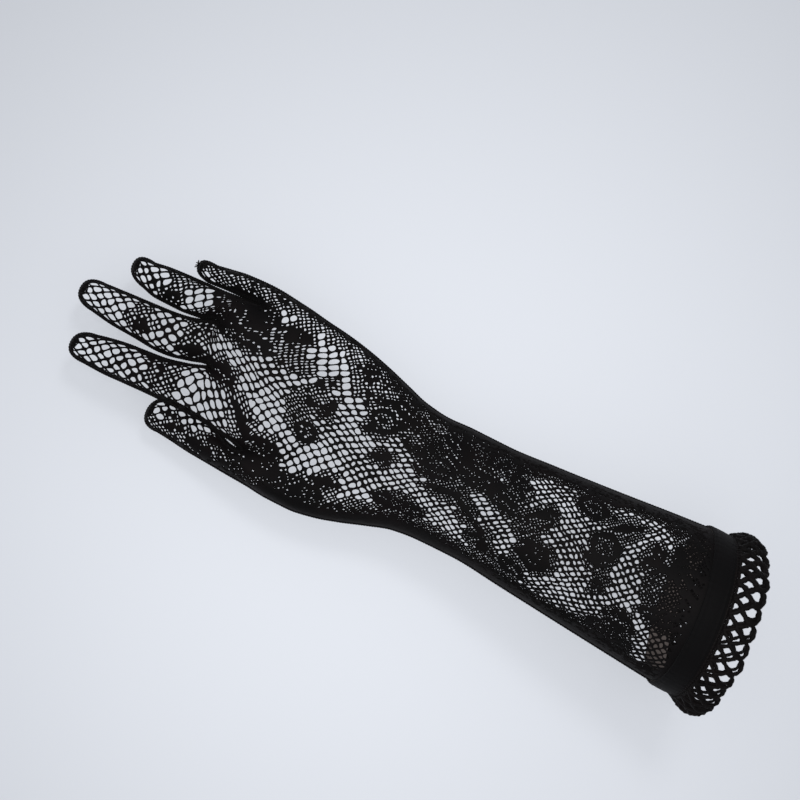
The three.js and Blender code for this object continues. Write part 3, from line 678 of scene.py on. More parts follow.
def in_line(c, r, sheet, low, high):
    """Column and row where the palm is met by the straight line from a point above the wrist
    through the back's cloth at (c, r). Newton's steps on the palm's formula find it; no point
    passes a crotch or a tip, and at the sides, where the panels meet, hardly any moves."""
    inside = np.clip(c, low, high)
    cc, rr = inside, np.maximum(r, -UNDER_BAND)
    seen = cloth(strip_of(cc, sheet), cc, rr, 1)
    base = np.where(sheet > 0, BASE[np.maximum(sheet - 1, 0)], -UNDER_BAND)
    last = np.where(sheet > 0, LAST[np.maximum(sheet - 1, 0)], NO_ROW)
    crotch = np.full(c.shape, NO_ROW)
    for border, top in zip(EDGES[1:], BASE[1:]):
        near = top + CROTCH_SLOPE * np.maximum(np.abs(c - border) - CROTCH_WIDTH, 0)
        crotch = np.where((sheet == 0) & (r <= top), np.minimum(crotch, near), crotch)
    for _ in range(SEARCHES):
        strip = strip_of(cc, sheet)
        at_c = np.clip(cc, EDGES[strip], EDGES[strip + 1] - STEP)
        here = cloth(strip, at_c, rr, -1)
        reach = (ABOVE[2] - here[..., 2]) / (ABOVE[2] - seen[..., 2])
        miss = (ABOVE + (seen - ABOVE) * reach[..., None] - here)[..., :2]
        ahead = ((cloth(strip, at_c, rr + STEP, -1) - here) / STEP)[..., :2]
        across = ((cloth(strip, at_c + STEP, rr, -1) - here) / STEP)[..., :2]
        det = ahead[..., 0] * across[..., 1] - ahead[..., 1] * across[..., 0]
        det = np.maximum(det, LEAST_SLOPE)
        dr = (miss[..., 0] * across[..., 1] - miss[..., 1] * across[..., 0]) / det
        dc = (ahead[..., 0] * miss[..., 1] - ahead[..., 1] * miss[..., 0]) / det
        cc = np.clip(at_c + np.clip(dc, -MOST_COLUMNS, MOST_COLUMNS), low, high)
        rr = rr + np.clip(dr, -MOST_ROWS, MOST_ROWS)
        rr = np.clip(rr, base, last - TIP_SHARE * (last - r))
        rr = np.minimum(rr, crotch)
    return cc + (c - inside), rr


def station(strip, r):
    """Millimetres along the hand for the motifs: the row, and on along the digit and its tip."""
    row, along, tip = net_row(strip, r)
    base = np.where(strip == THUMB, THUMB_CROTCH, FINGER_CROTCH)
    start = np.array([d["start"] for d in DIGITS])[strip]
    return np.where(r > BASE[strip], mix(base, start, along) + tip / TIP_DEGREES, row)


def lace_chart(i, j, c, at):
    """What the lace is at each place: open, fine, tiny or solid. The close net of the sides comes
    first, then the motifs in turn, and a later one covers earlier ones. A motif is given by both
    ends of its long axis, in millimetres along the hand and columns across it, and by half its
    width in millimetres. With u along that axis and v across it, both 1 at its ends, a leaf is
    solid where |v| is under 1 less u squared, with a ragged edge, veins and pinholes in it, and
    fine net round it. A fine one is an oval of fine net, and a faint one has tiny holes at half
    of its places. A rose is an oval of fine net with a broken solid ring and a solid heart, and
    a bloom has five petals, with a few holes round its middle."""
    few = hash_noise(i, j, 5) > PIERCED
    rare = hash_noise(i, j, 6) > PINHOLES
    half = hash_noise(i, j, 6) > HALF_FILLED
    ragged = hash_noise(i, j, 8)
    kind = np.full(c.shape, OPEN)
    low, high = look(SIDE_NET, "low", at), look(SIDE_NET, "high", at)
    kind[(c < low) | (c > high)] = FINE
    beyond = (c < low - CLOSER) | (c > high + CLOSER)
    kind[beyond] = np.where(half, TINY, SOLID)[beyond]
    kind[(c < low - LOW_SOLID * CLOSER) | (c > high + HIGH_SOLID * CLOSER)] = SOLID
    for word, at_a, across_a, at_b, across_b, wide in MOTIFS:
        axis = np.array([at_b - at_a, across_b - across_a])
        long = np.hypot(*axis) / 2
        dx, dy = at - (at_a + at_b) / 2, c - (across_a + across_b) / 2
        u = (dx * axis[0] + dy * axis[1]) / (2 * long * long)
        v = (dy * axis[0] - dx * axis[1]) / (2 * long * wide)
        far = np.hypot(u, v)
        if word == "leaf":
            body = np.minimum(1 - u * u - np.abs(v), 1 - np.abs(u)) * wide
            aside = np.abs(v) * wide
            kind[(body > -HALO) & (kind == OPEN)] = FINE
            kind[body > RAGGED * ragged] = SOLID
            kind[(body > 0) & rare & (wide > PINHOLE_WIDTH)] = TINY
            kind[(aside < VEIN) & (np.abs(u) < VEIN_END) & (wide > VEIN_WIDTH)] = FINE
            kind[(np.abs(aside - SIDE_VEIN) < VEIN) & (np.abs(u) < SIDE_VEIN_END)] = FINE
        elif word == "fine":
            kind[far < 1 + FINE_RAGGED * ragged] = FINE
        elif word == "faint":
            kind[far < 1] = np.where(half, TINY, SOLID)[far < 1]
        elif word == "rose":
            kind[far < ROSE_NET] = FINE
            kind[(far > ROSE_BROKEN) & (far < 1) & ~few] = SOLID
            kind[(far > ROSE_RING[0]) & (far < ROSE_RING[1])] = SOLID
            kind[far < ROSE_HEART] = SOLID
        else:
            petal = 1 + PETAL_DEPTH * np.cos(PETALS * np.arctan2(v, u))
            kind[far < petal + PETAL_DEPTH] = FINE
            kind[(far < petal) & ~rare] = SOLID
            kind[(far > BLOOM_HEART[0]) & (far < BLOOM_HEART[1]) & few] = FINE
    kind[(kind == FINE) & (hash_noise(i, j, 9) > DROPPED)] = SOLID
    return kind


def net_cells(side):
    """Sorts the net into open, fine, tiny and solid meshes. An open one is four columns wide and
    four rows long, the others two by two, with their middle where column and row add up to an
    odd number. Four of them make an open one where the chart leaves all four open and they lie
    whole in the cloth. Returns middles and strips of each sort."""
    columns = np.arange(-SPARE_COLUMNS, COLUMNS + SPARE_COLUMNS + 1)
    i, j = np.meshgrid(columns, np.arange(-SPARE_ROWS, LAST.max()), indexing="ij")
    lane = np.clip(np.searchsorted(EDGES, i, side="right") - 1, 0, THUMB)
    sheet = sheet_of(lane, j)
    c, r, strip = chart_place(i, j, sheet, 1)
    raw = gathered(i, j)
    there = (j < LAST[lane]) & (raw > -EDGE_SHARE) & (raw < COLUMNS + EDGE_SHARE)
    there &= chart_place(i, j, sheet, side)[1] > FIRST_ROW - UNDER_BAND
    kind = lace_chart(i, j, c, station(strip, r))
    odd = (i + j) % 2 == 1
    room = np.minimum(raw, COLUMNS - raw)
    border = np.isin(i, EDGES[1:THUMB + 1])
    split = border & (j >= BASE[lane])
    tip = j > LAST[lane] - CAP_ROWS
    kind = np.where(there & ((room < SELVEDGE) | split | tip | (j < SOLID_ROWS)), SOLID, kind)

    def moved(a, di, dj):
        """The value of each crossing's neighbour that lies di columns and dj rows away."""
        return np.roll(a, (-di, -dj), (0, 1))

    sides = ((1, 0), (-1, 0), (0, 1), (0, -1))
    middle = (i % 2 == 0) & (j % 2 == 0) & ((i + j) % 4 == 0)
    for di, dj in sides:
        middle &= moved((kind == OPEN) & there & ~split, di, dj)
        middle &= moved(there, 2 * di, 2 * dj) & (moved(room, 2 * di, 2 * dj) > 0)
    middle &= ~(border & (j + 2 > BASE[lane]))
    used = np.zeros(i.shape, bool)
    for di, dj in sides:
        used |= moved(middle, di, dj)
    hem = (j < HEM_ROWS) & (kind == OPEN)
    sorts = dict(
        open=middle,
        fine=odd & there & (kind < TINY) & ~used & ~hem,
        tiny=odd & there & (kind == TINY),
    )
    cells = {name: (i[mask], j[mask], lane[mask]) for name, mask in sorts.items()}
    solid = odd & there & ~used & ((kind == SOLID) | hem)
    pairs = ((i, i), (j, j), (lane, np.clip(lane - 1, 0, THUMB)))
    cells["solid"] = [np.concatenate([a[solid], b[solid & split]]) for a, b in pairs]
    return cells


CORNERS = {
    2: np.array([(0, 2), (1, 1), (2, 0), (1, -1), (0, -2), (-1, -1), (-2, 0), (-1, 1)]),
    1: np.array([(0, 1), (1, 0), (0, -1), (-1, 0)]),
}


def hole_ring(i, j, strip, half, points, side, tiny):
    """Edge of each hole along the two strands' directions: a rounded square, |a|^n plus |b|^n
    equal to one, drawn in from the strands' middle lines by half a strand, then made uneven."""
    ends = []
    for di, dj in ((half, 0), (-half, 0), (0, half), (0, -half)):
        ii, jj = i + di, j + dj
        c, r, s = chart_place(ii, jj, sheet_of(strip, jj), side)
        ends.append(cloth(s, c, r, side))
    by_column, by_row = ends[0] - ends[1], ends[2] - ends[3]
    one, two = 0.25 * (by_column + by_row), 0.25 * (by_column - by_row)
    area = np.maximum(np.linalg.norm(np.cross(one, two), axis=-1), NEAR_ZERO)
    yarn = look(YARN, "half", j) * (1 if half == 2 else FINE_YARN) * (1 if side > 0 else PALM_YARN)
    a = 1 - yarn / (area / np.maximum(np.linalg.norm(two, axis=-1), NEAR_ZERO))
    b = 1 - yarn / (area / np.maximum(np.linalg.norm(one, axis=-1), NEAR_ZERO))
    swing = SWING * np.where(((i + j) // (2 * half)) % 2 == 0, 1, -1)
    size = waves(i, j, HOLE_SIZE, 1)
    if half == 1:
        size = (TINY_HOLE if tiny else FINE_HOLE) + HOLE_NOISE * hash_noise(i, j, 7)
    a = a * size * (1 + swing + SIDE_NOISE * hash_noise(i, j, 1))
    b = b * size * (1 - swing + SIDE_NOISE * hash_noise(i, j, 2))
    angle = once_round(points) - np.pi / 4
    u = squared(np.cos(angle), 2 / SQUARENESS)
    v = squared(np.sin(angle), 2 / SQUARENESS)
    aa = np.clip(a, LEAST_HOLE, MOST_HOLE)[:, None] * u + SHIFT * hash_noise(i, j, 3)[:, None]
    bb = np.clip(b, LEAST_HOLE, MOST_HOLE)[:, None] * v + SHIFT * hash_noise(i, j, 4)[:, None]
    return aa, bb


def ring_place(i, j, strip, half, aa, bb, side):
    """Column and row of ring points: the middle plus half a mesh times a and b along strands."""
    di = 0.5 * half * (aa + bb)
    dj = 0.5 * half * (aa - bb)
    ii, jj = i[:, None] + di, j[:, None] + dj
    return chart_place(ii, jj, sheet_of(strip[:, None], jj), side)


def crossings(cells):
    """Every crossing of the meshes once: its column, row and sheet, and for each sort of mesh
    its name, half its size, middles, strips and the numbers of its corners. All the columns of a
    digit's last row are one crossing, at its tip."""
    keys, sorts = [], []
    for name, half in (("open", 2), ("fine", 1), ("tiny", 1), ("solid", 1)):
        i, j, strip = cells[name]
        ii = i[:, None] + CORNERS[half][:, 0]
        jj = j[:, None] + CORNERS[half][:, 1]
        ss = np.broadcast_to(strip[:, None], ii.shape)
        sheet = sheet_of(ss, jj)
        pole = jj >= LAST[ss]
        ii = np.where(pole, EDGES[ss], ii)
        jj = np.where(pole, LAST[ss], jj)
        keys.append((sheet * KEY_SPAN + jj + KEY_ROWS) * KEY_SPAN + ii + KEY_COLUMNS)
        sorts.append((name, half, i, j, strip))
    unique, inverse = np.unique(np.concatenate([k.ravel() for k in keys]), return_inverse=True)
    cuts = np.cumsum([k.size for k in keys])[:-1]
    corners = [found.reshape(k.shape) for k, found in zip(keys, np.split(inverse.ravel(), cuts))]
    sheet = unique // KEY_SPAN ** 2
    row = unique // KEY_SPAN % KEY_SPAN - KEY_ROWS
    column = unique % KEY_SPAN - KEY_COLUMNS
    return column, row, sheet, [(*sort, found) for sort, found in zip(sorts, corners)]


def triangles(a, b, c):
    """Triangles as rows, from three arrays of the numbers of their corners."""
    return np.stack([a, b, c], -1).reshape(-1, 3)


def rim_faces(faces, n, total):
    """Two triangles from face to face along every edge between crossings that has no other
    triangle beside it: one whose two ends don't come again the other way round."""
    starts = faces.ravel().astype(np.int64)
    ends = np.roll(faces, -1, 1).ravel().astype(np.int64)
    alone = ~np.isin(starts * total + ends, ends * total + starts)
    alone &= (starts < n) & (ends < n)
    u, v = starts[alone], ends[alone]
    return np.concatenate([triangles(v, u, u + n), triangles(v, u + n, v + n)])


def two_faces(at, side, lift):
    """Places on the net's outer and inner face at a column, row and strip: the middle of the
    cloth's wall, plus and less the lift along its outward direction."""
    c, r, strip = at
    middle, normal = cloth_and_normal(strip, c, r, side)
    return [(middle + lift * normal).reshape(-1, 3), (middle - lift * normal).reshape(-1, 3)]


def lace_piece(cells, side):
    """Triangles of one piece of lace, closed: both faces of every mesh from its crossings to
    its hole, the holes' edges shared by both faces, and a rim along the piece's border. The
    strands of open meshes have a shoulder in between, so that they look round."""
    ii, jj, sheet, sorts = crossings(cells)
    lift = YARN_LIFT * (1 + LIFT_NOISE * hash_noise(ii, jj, 0))[:, None]
    places = two_faces(chart_place(ii, jj, sheet, side), side, lift)
    n = len(ii)
    count = 2 * n
    faces = []

    def both(a, b, d, back):
        """Adds a triangle of the outer face and, turned round, its twin on the inner face."""
        faces.append(triangles(a, b, d))
        faces.append(triangles(back[0], back[2], back[1]))

    for name, half, i, j, strip, corner in sorts:
        meshes, points = corner.shape[0], 2 * corner.shape[1]
        if meshes == 0:
            continue
        after = np.roll(corner, -1, 1)
        if name == "solid":
            at = chart_place(i, j, sheet_of(strip, j), side)
            places += two_faces(at, side, BULGE * YARN_LIFT)
            hub = np.broadcast_to(count + np.arange(meshes)[:, None], corner.shape)
            count += 2 * meshes
            both(corner, after, hub, (corner + n, after + n, hub + meshes))
            continue
        aa, bb = hole_ring(i, j, strip, half, points, side, name == "tiny")
        c, r, s = ring_place(i, j, strip, half, aa, bb, side)
        places.append(cloth_and_normal(s, c, r, side)[0].reshape(-1, 3))
        ring = count + np.arange(meshes * points).reshape(meshes, points)
        count += meshes * points
        upper = lower = ring
        if name == "open":
            far = np.maximum(np.abs(aa), np.abs(bb))
            scale = 1 + SHOULDER * (1 - far) / np.maximum(far, LEAST_HOLE)
            at = ring_place(i, j, strip, half, aa * scale, bb * scale, side)
            places += two_faces(at, side, SHOULDER_LIFT * YARN_LIFT)
            upper, lower = ring + meshes * points, ring + 2 * meshes * points
            count += 2 * meshes * points
            next_up, next_ring, next_low = (np.roll(a, -1, 1) for a in (upper, ring, lower))
            both(upper, next_up, next_ring, (lower, next_low, next_ring))
            both(upper, next_ring, ring, (lower, next_ring, ring))
        here = np.arange(0, points, 2)
        left, ahead = (here - 1) % points, here + 1
        u_here, u_left, u_ahead = upper[:, here], upper[:, left], upper[:, ahead]
        l_here, l_left, l_ahead = lower[:, here], lower[:, left], lower[:, ahead]
        both(corner, u_here, u_left, (corner + n, l_here, l_left))
        both(corner, u_ahead, u_here, (corner + n, l_ahead, l_here))
        both(corner, after, u_ahead, (corner + n, after + n, l_ahead))
    places = np.concatenate(places)
    faces = np.concatenate(faces)
    faces = faces[np.all(faces != np.roll(faces, -1, 1), axis=1)]
    faces = np.concatenate([faces, rim_faces(faces, n, len(places))])
    if side < 0:
        faces = faces[:, ::-1]
    return places, faces


def add_object(name, data):
    """A new object at the origin, in the scene."""
    made = bpy.data.objects.new(name, data)
    bpy.context.scene.collection.objects.link(made)
    return made


def make_mesh(name, places, faces, material):
    """Puts places in millimetres and triangles or quads into a smooth mesh at the origin."""
    mesh = bpy.data.meshes.new(name)
    mesh.vertices.add(len(places))
    mesh.vertices.foreach_set("co", (places * MM).astype(np.float32).ravel())
    size = faces.shape[1]
    mesh.loops.add(faces.size)
    mesh.loops.foreach_set("vertex_index", faces.astype(np.int32).ravel())
    mesh.polygons.add(len(faces))
    mesh.polygons.foreach_set("loop_start", np.arange(0, faces.size, size, dtype=np.int32))
    mesh.polygons.foreach_set("use_smooth", np.ones(len(faces), bool))
    mesh.update(calc_edges=True)
    mesh.validate()
    mesh.materials.append(material)
    return add_object(name, mesh)


def cords(paths, up, radius, sides, closed):
    """Round cords along many paths at once. Each ring is the path's point plus the radius times
    cosine of the angle upwards and sine of it sideways; open cords end in a flat cap."""
    paths, up = np.atleast_3d(paths), np.atleast_3d(up)
    n, m = paths.shape[:2]
    if closed:
        ahead = np.roll(paths, -1, 1) - np.roll(paths, 1, 1)
    else:
        ahead = np.gradient(paths, axis=1)
    ahead = unit(ahead)
    up = unit(up - np.sum(up * ahead, -1, keepdims=True) * ahead)
    beside = np.cross(ahead, up)
    angle = once_round(sides)
    turn = np.cos(angle)[:, None] * up[:, :, None] + np.sin(angle)[:, None] * beside[:, :, None]
    radius = np.broadcast_to(np.asarray(radius, float).reshape(n, m, -1), (n, m, sides))
    rings = paths[:, :, None] + radius[..., None] * turn
    index = np.arange(n * m * sides).reshape(n, m, sides)
    if closed:
        low, high = index, np.roll(index, -1, 1)
    else:
        low, high = index[:, :-1], index[:, 1:]
    low_next, high_next = np.roll(low, -1, 2), np.roll(high, -1, 2)
    faces = [triangles(low, low_next, high_next), triangles(low, high_next, high)]
    places = [rings.reshape(-1, 3)]
    if not closed:
        hub = n * m * sides + np.arange(n)[:, None]
        places += [paths[:, 0], paths[:, -1]]
        first, last = index[:, 0], index[:, -1]
        start_hub = np.broadcast_to(hub, first.shape)
        end_hub = start_hub + n
        faces.append(triangles(start_hub, np.roll(first, -1, 1), first))
        faces.append(triangles(end_hub, last, np.roll(last, -1, 1)))
    return np.concatenate(places), np.concatenate(faces)


def joined(parts):
    """Joins several sets of places and faces into one."""
    places, faces, count = [], [], 0
    for p, f in parts:
        places.append(p)
        faces.append(f + count)
        count += len(p)
    return np.concatenate(places), np.concatenate(faces)


def even_path(points, step):
    """The same path in even steps, by its running length."""
    run = np.concatenate([[0], np.cumsum(np.linalg.norm(np.diff(points, axis=0), axis=1))])
    at = np.linspace(0, run[-1], int(round(run[-1] / step)) + 1)
    return np.stack([np.interp(at, run, points[:, k]) for k in range(3)], -1), at


def seam_spot(strip, column, row):
    """One place on the line of the seam."""
    return in_strip(strip, np.array([float(column)]), np.array([float(row)]), 0)


def seam_leg(strip, edge, start):
    """One edge of a digit from a row to its tip, in half rows, with finer steps round the tip."""
    straight = np.arange(start, LAST[strip] - TIP_ROWS, 0.5)
    tip = LAST[strip] - TIP_ROWS + TIP_ROWS * np.linspace(0, 1, SEAM_TIP_STEPS)
    rows = np.concatenate([straight, tip])
    return in_strip(strip, np.full(rows.shape, float(edge)), rows, 0)


def seam_path():
    """Line of the edge seam: up the little finger's side, round every digit, down the thumb's."""
    starts = [0, *BASE[1:], 0]
    legs = []
    for strip in range(len(DIGITS)):
        legs.append(seam_leg(strip, EDGES[strip], starts[strip]))
        legs.append(seam_leg(strip, EDGES[strip + 1], starts[strip + 1])[::-1])
    return np.concatenate(legs)


def edge_seam(material):
    """Overlocked seam: a bead whose radius swells in a helix, once for each wrap of thread, by a
    bell curve at each crotch and fingertip, where the cloth is bunched, and by a flatter curve,
    with the fourth power of the way, as far as two digits' seams press on each other."""
    path, at = even_path(seam_path(), SEAM_STEP)
    for _ in range(SEAM_SMOOTHINGS):
        path[1:-1] = 0.25 * path[:-2] + 0.5 * path[1:-1] + 0.25 * path[2:]
    wrap = np.cos(2 * np.pi * at[:, None] / WRAP_PITCH - once_round(SEAM_SIDES))
    bunch = np.zeros(len(at))
    for strip in range(len(DIGITS)):
        tip = seam_spot(strip, EDGES[strip] + 1, LAST[strip] - TIP_SHORT)
        bunch += TIP_BUNCH * np.exp(-np.sum((path - tip) ** 2, -1) / TIP_REACH ** 2)
        if strip > 0:
            crotch = seam_spot(strip, EDGES[strip], BASE[strip])
            away = np.linalg.norm(path - crotch, axis=-1)
            bunch += CROTCH_BUNCH * np.exp(-((away / CROTCH_REACH[strip]) ** 2))
            pressed = CROTCH_CLOSE * np.exp(-((away / CLOSE_REACH[strip]) ** 4))
            bunch = np.maximum(bunch, pressed)
    radius = (SEAM_RADIUS * (1 + bunch))[:, None] * (WRAP_MEAN + WRAP_DEPTH * wrap)
    up = np.broadcast_to([0.0, 0, 1], path.shape)
    places, faces = cords(path[None], up[None], radius[None], SEAM_SIDES, False)
    return make_mesh("seam_thread_overlock", places, faces, material)


def oval_place(x, turn, half_width, half_height):
    """Place on an oval ring square to the arm, leaned by the cuff's slant."""
    return slanted(x, half_width * np.cos(turn), half_height * np.sin(turn))


def cuff_band(material):
    """Elastic band: an oval ring with a rounded flat section, |u|^5 plus |v|^5 equal to one,
    ribbed along its length and puckered a little where it is stitched to the lace. Its inner
    face, where the section's sine is negative, is marked for a lighter colour, which is painted
    sheen."""
    around, section = BAND_STEPS, BAND_SECTION
    angle = once_round(section)
    u = squared(np.cos(angle), 2 / BAND_SQUARENESS)
    v = squared(np.sin(angle), 2 / BAND_SQUARENESS)
    turn, u = np.meshgrid(once_round(around), u, indexing="ij")
    v = np.broadcast_to(v, u.shape)
    middle_x = 0.5 * (BAND_START + BAND_END)
    x = middle_x + 0.5 * (BAND_END - BAND_START) * u
    pucker = sum(size * np.sin(count * turn + start) for size, count, start in BAND_PUCKERS)
    rib = BAND_RIB * np.cos(2 * np.pi * (x - middle_x) / BAND_RIB_PITCH)
    out = 0.5 * BAND_WALL * v + np.where(v > 0, (pucker * np.abs(u) ** 2 + rib) * np.abs(v), 0)
    mid = -0.5 * BAND_WALL - BAND_INSET
    places = oval_place(x, turn, BAND_HALF_WIDTH + mid + out, BAND_HALF_HEIGHT + mid + out)
    index = np.arange(around * section).reshape(around, section)
    ahead = np.roll(index, -1, 0)
    quads = np.stack([index, ahead, np.roll(ahead, -1, 1), np.roll(index, -1, 1)], -1)
    band = make_mesh("elastic_band", places.reshape(-1, 3), quads.reshape(-1, 4), material)
    # Faces on the inner side, which get the painted sheen colour
    inner = np.tile(np.sin(angle + np.pi / section) < INNER_LIMIT, around)
    mark = band.data.attributes.new("inner_face", "FLOAT", "FACE")
    mark.data.foreach_set("value", inner.astype(np.float32))
    return band


def edging_place(around, out, lift):
    """Place on the flared edging: an oval that widens with a sine of the way out, and ruffles."""
    turn = 2 * np.pi * around / REPEATS
    grow = out / EDGING_LENGTH
    flare = np.sin(np.pi * FLARE_TURN * grow)
    wave = LONG_RUFFLE_SHARE * np.sin(LONG_RUFFLES * turn)
    wave = wave + SHORT_RUFFLE_SHARE * np.sin(SHORT_RUFFLES * turn + 1)
    upward = np.where(np.sin(turn) > 0, FLARE_UP, FLARE_DOWN)
    lift = lift + RUFFLE * wave * grow
    half_width = EDGING_HALF_WIDTH + FLARE_OUT * flare + lift
    half_height = EDGING_HALF_HEIGHT + upward * flare * np.abs(np.sin(turn)) + lift
    return oval_place(BAND_START - PIECE_GAP - out, turn, half_width, half_height)


def loops(start, foot, peak, bow, roundness, lift, radius, points):
    """A round of crocheted loops, one from each foot to the next: the way out rises by one less
    |2t - 1| to a power, the way round leans over the feet by a sine, and each loop's peak is
    set off a little by its own noise. The cord swells with its chain stitches and at its ends
    and peak, where it is knotted to the next round."""
    t = np.linspace(0, 1, points)
    first = np.arange(REPEATS)[:, None] + start
    around = first + t - bow * np.sin(2 * np.pi * t)
    around = around + PEAK_ROUND * hash_noise(first, 2, 3 + foot) * np.sin(np.pi * t)
    rise = 1 - np.abs(2 * t - 1) ** roundness
    out = foot + (peak - foot) * rise + PEAK_OUT * hash_noise(first, 1, 2) * rise
    middle = edging_place(around, out, lift)
    outward = edging_place(around, out, lift + 1) - middle
    knots = np.exp(-((t / END_KNOT) ** 2)) + np.exp(-(((t - 0.5) / PEAK_KNOT) ** 2))
    knots = knots + np.exp(-(((t - 1) / END_KNOT) ** 2))
    closer = 1 + CLOSE_CORDS * ease(CLOSE_START - np.cos(2 * np.pi * around / REPEATS))
    stitches = CHAIN_DEPTH * np.cos(2 * np.pi * CHAIN_STITCHES * t)
    chain = radius * closer * (1 + stitches + KNOT_DEPTH * knots)
    return cords(middle, outward, np.broadcast_to(chain, around.shape), LOOP_SIDES, False)


def lace_edging(material):
    """Edging: two foundation cords along the band, a net of two rounds of pointed loops, round
    loops at its rim, and a gathered second layer a little inside. The cords are given by way
    out, lift and radius, the rounds by their start, foot, peak, bow, roundness, lift, radius
    and points."""
    turn = np.linspace(0, REPEATS, REPEATS * FOUNDATION_STEPS, endpoint=False)[None]
    parts = []
    for out, lift, radius in ((0.15, 0, 0.8), (1.3, 0.1, 0.7)):
        middle = edging_place(turn, out, lift)
        outward = edging_place(turn, out, lift + 1) - middle
        bead = radius * (1 + FOUNDATION_DEPTH * np.cos(2 * np.pi * turn * FOUNDATION_STITCHES))
        parts.append(cords(middle, outward, bead, FOUNDATION_SIDES, True))
    for row in (
        (0, 1.2, 5.5, 0.0, 1.25, 0.05, 0.85, 19),
        (0.5, 4.7, 9.1, 0.0, 1.3, 0.1, 0.85, 19),
        (0, 8.4, 13.0, 0.12, 2.4, 0.0, 0.78, 25),
        (0.16, 1.2, 5.0, 0.03, 1.3, -0.8, 0.7, 19),
        (0.66, 4.5, 8.6, 0.03, 1.3, -0.8, 0.66, 19),
        (0.2, 8.2, 11.9, 0.1, 2.2, -0.6, 0.62, 23),
    ):
        parts.append(loops(*row))
    places, faces = joined(parts)
    return make_mesh("edging_loops", places, faces, material)


def end_tuft(material):
    """The cut thread ends at the little finger's tip: short strands that curl by a sine and
    grow thinner towards their ends."""
    tip = seam_spot(0, EDGES[1] / 2, LAST[0] - TIP_SHORT)[0]
    t = np.linspace(0, 1, THREAD_POINTS)[:, None]
    strands = []
    for number, (side, rise, length) in enumerate(THREAD_ENDS):
        reach = unit(np.array([THREAD_ALONG, side, rise]))
        curl = THREAD_CURL * np.sin(4 * t + number) * THREAD_CURL_WAY
        strands.append(tip + reach * length * t + curl * t)
    paths = np.stack(strands)
    radius = np.broadcast_to(THREAD_RADIUS * (1 - THREAD_TAPER * t[:, 0]), paths.shape[:2])
    up = np.broadcast_to([0.0, 0.2, 1], paths.shape)
    places, faces = cords(paths, up, radius, THREAD_SIDES, False)
    return make_mesh("seam_thread_ends", places, faces, material)


def fill(node, **values):
    """Sets a node's own sockets; an underscore stands for a space in a socket's name."""
    for name, value in values.items():
        node.inputs[name.replace("_", " ")].default_value = value


def yarn_material(name, colour, warm, grain, depth, roughness, sheen, inner=None):
    """Black yarn: two colours mixed by slow noise, fine fibres in the roughness and the bump, a
    faint sheen, and if given a lighter colour, painted sheen, on the faces that are marked as inner
    ones."""
    made = bpy.data.materials.new(name)
    made.use_nodes = True
    nodes, links = made.node_tree.nodes, made.node_tree.links

    def add(kind, **values):
        """Adds a node of a kind and sets its sockets."""
        node = nodes.new("ShaderNode" + kind)
        fill(node, **values)
        return node

    shader = nodes["Principled BSDF"]
    fill(shader, Sheen_Weight=sheen, Sheen_Roughness=0.45, Sheen_Tint=(0.85, 0.8, 0.84, 1))
    fill(shader, Specular_IOR_Level=0.1)
    place, tint = add("TexCoord"), add("ValToRGB")
    for stop, share, shade in zip(tint.color_ramp.elements, (0.35, 0.7), (colour, warm)):
        stop.position = share
        stop.color = (*shade, 1)
    slow = add("TexNoise", Scale=60, Detail=3)
    fibre = add("TexNoise", Scale=grain, Detail=4, Distortion=0.6)
    low, high = roughness - FIBRE_ROUGHNESS, roughness + FIBRE_ROUGHNESS
    rough = add("MapRange", To_Min=low, To_Max=high)
    bump = add("Bump", Strength=0.6, Distance=depth)
    wires = [
        (place, "Object", slow, "Vector"),
        (slow, "Fac", tint, "Fac"),
        (tint, "Color", shader, "Base Color"),
        (place, "Object", fibre, "Vector"),
        (fibre, "Fac", rough, "Value"),
        (rough, "Result", shader, "Roughness"),
        (fibre, "Fac", bump, "Height"),
        (bump, "Normal", shader, "Normal"),
    ]
    if inner:
        # The inner faces get a lighter colour mixed in: painted sheen
        mark, painted_sheen = add("Attribute"), add("Mix")
        mark.attribute_name = "inner_face"
        painted_sheen.data_type = "RGBA"
        fill(painted_sheen, B=(*inner, 1))
        wires += [
            (mark, "Fac", painted_sheen, "Factor"),
            (tint, "Color", painted_sheen, "A"),
            (painted_sheen, "Result", shader, "Base Color"),
        ]
    for source, output, target, socket in wires:
        links.new(source.outputs[output], target.inputs[socket])
    return made


def lace_pieces(material):
    """The two panels' lace, each in an arm piece and a hand piece along the same net."""
    made = []
    for node, word, side in (("back_panel", "back", 1), ("palm_panel", "palm", -1)):
        cells = net_cells(side)
        for part in ("arm", "hand"):
            chosen = {}
            for kind, (i, j, strip) in cells.items():
                mask = (j < ARM_ROWS) == (part == "arm")
                chosen[kind] = (i[mask], j[mask], strip[mask])
            places, faces = lace_piece(chosen, side)
            piece = make_mesh(f"lace_{word}_{part}", places, faces, material)
            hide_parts(node)
            made.append(piece)
    return made


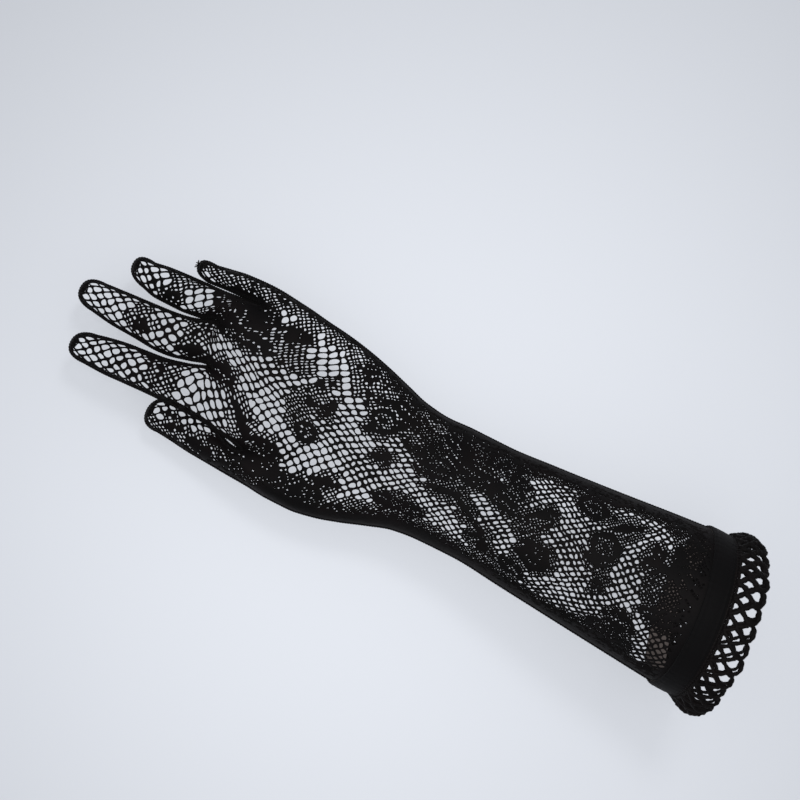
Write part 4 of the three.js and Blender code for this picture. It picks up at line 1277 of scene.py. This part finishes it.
def floor_and_light():
    """Plain pale floor, even light from all round, a soft key from the upper right, and a small
    lamp above the wrist that lights what shows through both nets."""
    low = CAD_BOX[0][2] - FLOOR_GAP
    mesh = bpy.data.meshes.new("floor")
    wide = 3.0
    corners = [(-wide, -wide, low), (wide, -wide, low), (wide, wide, low), (-wide, wide, low)]
    mesh.from_pydata(corners, [], [(0, 1, 2, 3)])
    paper = bpy.data.materials.new("pale_floor")
    paper.use_nodes = True
    shader = paper.node_tree.nodes["Principled BSDF"]
    fill(shader, Base_Color=(0.66, 0.685, 0.735, 1), Roughness=0.7, Specular_IOR_Level=0.1)
    mesh.materials.append(paper)
    floor = add_object("floor", mesh)
    bpy.context.scene.view_settings.view_transform = "Standard"
    world = bpy.data.worlds.new("studio")
    bpy.context.scene.world = world
    world.use_nodes = True
    fill(world.node_tree.nodes["Background"], Color=(0.97, 0.98, 1.0, 1), Strength=0.39)
    for name, place, size, power in (
        ("key_light", (0.10, -0.60, 0.95), 0.28, 1.5),
        ("top_light", tuple(ABOVE * MM), 0.004, 2.15),
    ):
        data = bpy.data.lights.new(name, "AREA")
        data.shape = "DISK"
        data.size = size
        data.energy = power
        lamp = add_object(name, data)
        lamp.location = place
        aim = Vector(np.array(LIT_POINT) - np.array(place))
        lamp.rotation_euler = aim.to_track_quat("-Z", "Y").to_euler()


def photo_camera():
    """Camera at the photograph's angle, above the glove and looking down on it. Its lens is
    half the sensor over the tangent of half the view's angle."""
    sensor, half_view = 36, np.radians(20)
    data = bpy.data.cameras.new("camera")
    data.sensor_width = sensor
    data.lens = sensor / 2 / np.tan(half_view)
    camera = add_object("camera", data)
    right = Vector((-0.88701, -0.46175, 0.0))
    up = Vector((0.45831, -0.88040, 0.12187))
    toward = right.cross(up).normalized()
    turned = Matrix((right, up, toward)).transposed().to_4x4()
    turned.translation = Vector((0.12827, 0.03031, 0.49350))
    camera.matrix_world = turned
    bpy.context.scene.camera = camera


photo_camera()
LACE = yarn_material(
    "lace_yarn", (0.0007, 0.0005, 0.0007), (0.0022, 0.0012, 0.0014),
    grain=2600, depth=0.00012, roughness=0.75, sheen=0.012,
)
SEAM = yarn_material(
    "overlock_thread", (0.0006, 0.0005, 0.0007), (0.0015, 0.001, 0.0012),
    grain=3000, depth=0.0001, roughness=0.78, sheen=0.013,
)
# The band's inner colour is painted sheen, lighter than the black elastic
BAND = yarn_material(
    "ribbed_elastic", (0.0006, 0.0005, 0.0007), (0.0013, 0.001, 0.0013),
    grain=2200, depth=0.00012, roughness=0.8, sheen=0.01, inner=(0.10, 0.085, 0.08),
)
CORD = yarn_material(
    "crochet_cord", (0.0007, 0.0005, 0.0006), (0.0026, 0.0014, 0.0015),
    grain=2400, depth=0.00014, roughness=0.74, sheen=0.013,
)

pieces = [(piece, "lace") for piece in lace_pieces(LACE)]
seam = edge_seam(SEAM)
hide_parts("edge_seam")
pieces.append((seam, "seam_thread"))
ends = end_tuft(SEAM)
pieces.append((ends, "seam_thread"))
band = cuff_band(BAND)
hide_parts("cuff_band")
pieces.append((band, "elastic"))
edging = lace_edging(CORD)
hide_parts("lace_edging")
pieces.append((edging, "edging_thread"))
for piece, slot in pieces:
    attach(piece, "root")
floor_and_light()
